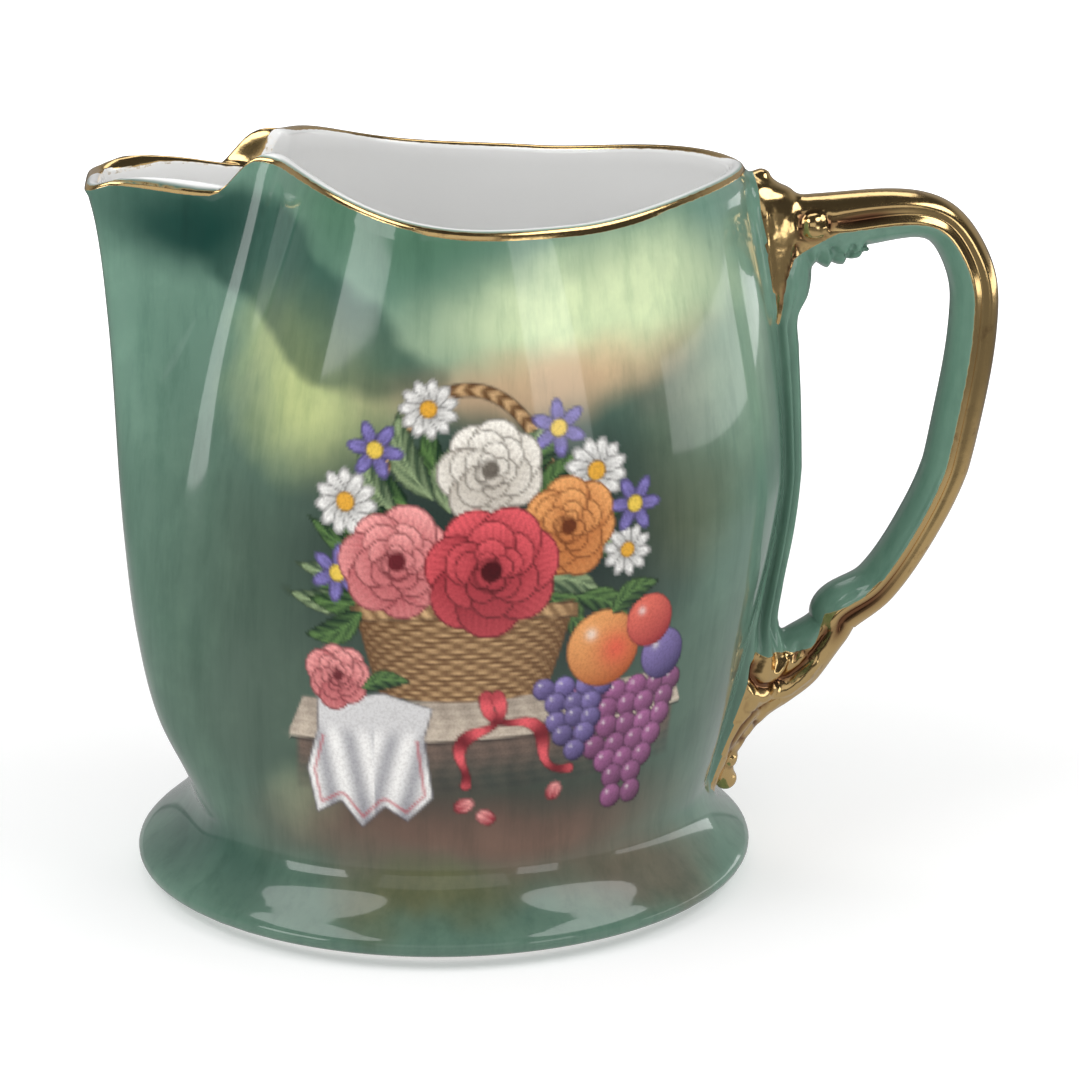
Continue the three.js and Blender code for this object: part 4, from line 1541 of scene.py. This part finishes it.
class PITCHER_OT_vessel(bpy.types.Operator):
    """Builds the pitcher: vessel, stem, arm and leaf in one skin, with its enamels and gold"""

    bl_idname = "pitcher.vessel"
    bl_label = "Build the pitcher"

    def execute(self, context):
        form = Form(context.scene.pitcher_sizes)
        finish = glaze_material(context.scene.pitcher_colours)
        piece = new_object("cream_pitcher", *vessel_skin(form))
        others = [stem_object(form), arm_object(form, finish), leaf_object(form)]
        others += [knob_object(form, name, *place) for name, place in KNOBS.items()]
        fresh = unite(piece, others)
        if len(fresh) == 0:
            raise RuntimeError("the handle doesn't join the body")
        soften(piece.data, fresh)
        model_relief(piece.data, form)
        set_attributes(piece.data, form)
        piece.data.materials.clear()
        piece.data.materials.append(finish)
        piece.data.polygons.foreach_set("material_index", [0] * len(piece.data.polygons))
        piece.data.shade_smooth()
        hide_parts("pitcher")
        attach(piece, "root")
        return {"FINISHED"}


# Camera: place in metres, tilt below the horizon and turn in degrees, lens and film width in
# millimetres
CAMERA_PLACE = (-0.04158, -0.46243, 0.181)
CAMERA_TILT = 16.2
CAMERA_TURN = -5
CAMERA_LENS = 114.83
FILM_WIDTH = 36
# Half the table's width in millimetres
TABLE_HALF = 6000
# Lights that face the pitcher: name, shape, place in metres, width, height and power in watts
STUDIO_LIGHTS = (
    ("upper left softbox", "ELLIPSE", (-0.45, -0.18, 0.62), 0.64, 0.34, 1.5),
    ("upper right softbox", "ELLIPSE", (0.45, -0.2, 0.62), 0.6, 0.34, 1.5),
    ("left window", "RECTANGLE", (-0.8, -0.46, 0.24), 0.46, 0.24, 1.25),
    ("front right window", "RECTANGLE", (0.55, -0.83, 0.14), 0.3, 0.28, 0.5),
    ("front fill", "RECTANGLE", (-0.1, -1.3, 0.6), 1.3, 0.7, 1.6),
    ("right panel", "RECTANGLE", (0.62, 0.12, 0.05), 0.8, 0.09, 0.4),
    ("back top panel", "RECTANGLE", (0.0, 0.62, 0.95), 0.8, 0.4, 1.6),
)
LIGHT_TARGET = (0, 0, 0.05)


def set_camera(scene):
    camera = bpy.data.objects.new("camera", bpy.data.cameras.new("camera"))
    camera.location = CAMERA_PLACE
    camera.rotation_euler = (math.radians(90 - CAMERA_TILT), 0, math.radians(CAMERA_TURN))
    camera.data.lens = CAMERA_LENS
    camera.data.sensor_width = FILM_WIDTH
    camera.data.clip_start = 0.01
    scene.collection.objects.link(camera)
    scene.camera = camera
    scene.view_settings.view_transform = "Standard"


def set_table():
    """White paper that glows from pale by the pitcher to white far out"""
    half = TABLE_HALF
    corners = np.array([(-half, -half, 0), (half, -half, 0), (half, half, 0), (-half, half, 0)],
                       float)
    floor = new_object("table", corners, [(0, 1, 2, 3)])
    paper = bpy.data.materials.new("white_paper")
    paper.use_nodes = True
    make = NodeMaker(paper.node_tree)
    reach = make.vector("LENGTH", make.add("ShaderNodeTexCoord").outputs["Object"])
    seen = make.math("MULTIPLY_ADD", make.step(reach, 0.08, 0.6), 0.75, 0.3)
    # In the glaze the paper ends near the pitcher and a dark room lies beyond it
    mirrored = make.math("MULTIPLY_ADD", make.step(reach, 0.28, 0.14), 0.28, 0.06)
    glossy = make.add("ShaderNodeLightPath").outputs["Is Glossy Ray"]
    inputs = {"Emission Color": make.mix(glossy, seen, mirrored), "Emission Strength": 1,
              "Base Color": make.mix(glossy, grey(0.8), grey(0.08)),
              "Roughness": 0.9, "Specular IOR Level": 0.1}
    for name, value in inputs.items():
        make.put(paper.node_tree.nodes["Principled BSDF"].inputs[name], value)
    floor.data.materials.append(paper)


def set_room(scene):
    """A dim room that looks white behind the pitcher"""
    world = bpy.data.worlds.new("studio")
    world.use_nodes = True
    make = NodeMaker(world.node_tree)
    _, y, z = make.parts(make.add("ShaderNodeTexCoord").outputs["Generated"])
    behind = make.math("MULTIPLY", make.step(z, 0.75, 0.35), make.step(y, -0.1, 0.5))
    mirrored = make.mix(behind, grey(0.04), grey(0.3))
    path = make.add("ShaderNodeLightPath").outputs
    room = make.mix(path["Is Glossy Ray"], grey(0.55), mirrored)
    room = make.mix(path["Is Camera Ray"], room, grey(1.0))
    make.put(world.node_tree.nodes["Background"].inputs["Color"], room)
    scene.world = world


def area_light(scene, name, shape, place, width, height, power):
    """A flat light that faces the middle of the pitcher"""
    lamp = bpy.data.lights.new(name, "AREA")
    lamp.shape = shape
    lamp.size = width
    lamp.size_y = height
    lamp.energy = power
    light = bpy.data.objects.new(name, lamp)
    light.location = place
    toward = np.array(LIGHT_TARGET) - np.array(place)
    flat = math.hypot(toward[0], toward[1])
    light.rotation_euler = (math.atan2(flat, -toward[2]), 0,
                            math.atan2(toward[1], toward[0]) - math.pi / 2)
    scene.collection.objects.link(light)


class PITCHER_OT_stage(bpy.types.Operator):
    """Sets the camera, the white table and the soft studio lights"""

    bl_idname = "pitcher.stage"
    bl_label = "Set the stage"

    def execute(self, context):
        scene = context.scene
        set_camera(scene)
        set_table()
        set_room(scene)
        for light in STUDIO_LIGHTS:
            area_light(scene, *light)
        return {"FINISHED"}


class PITCHER_PT_panel(bpy.types.Panel):
    """Lists the pitcher's sizes and colours, with the buttons that build the pitcher and set the
    stage
    """

    bl_idname = "PITCHER_PT_panel"
    bl_label = "Cream pitcher"
    bl_space_type = "VIEW_3D"
    bl_region_type = "UI"
    bl_category = "Pitcher"

    def draw(self, context):
        for group in (context.scene.pitcher_sizes, context.scene.pitcher_colours):
            column = self.layout.column(align=True)
            for name in group.__annotations__:
                column.prop(group, name)
        for operator in OPERATORS:
            self.layout.operator(operator.bl_idname)


OPERATORS = (PITCHER_OT_vessel, PITCHER_OT_stage)
CLASSES = (PitcherSizes, PitcherColours, *OPERATORS, PITCHER_PT_panel)


def register():
    for part in CLASSES:
        bpy.utils.register_class(part)
    bpy.types.Scene.pitcher_sizes = bpy.props.PointerProperty(type=PitcherSizes)
    bpy.types.Scene.pitcher_colours = bpy.props.PointerProperty(type=PitcherColours)


def unregister():
    del bpy.types.Scene.pitcher_colours
    del bpy.types.Scene.pitcher_sizes
    for part in reversed(CLASSES):
        bpy.utils.unregister_class(part)


def main():
    register()
    bpy.ops.pitcher.vessel()
    bpy.ops.pitcher.stage()


if __name__ == "__main__":
    main()
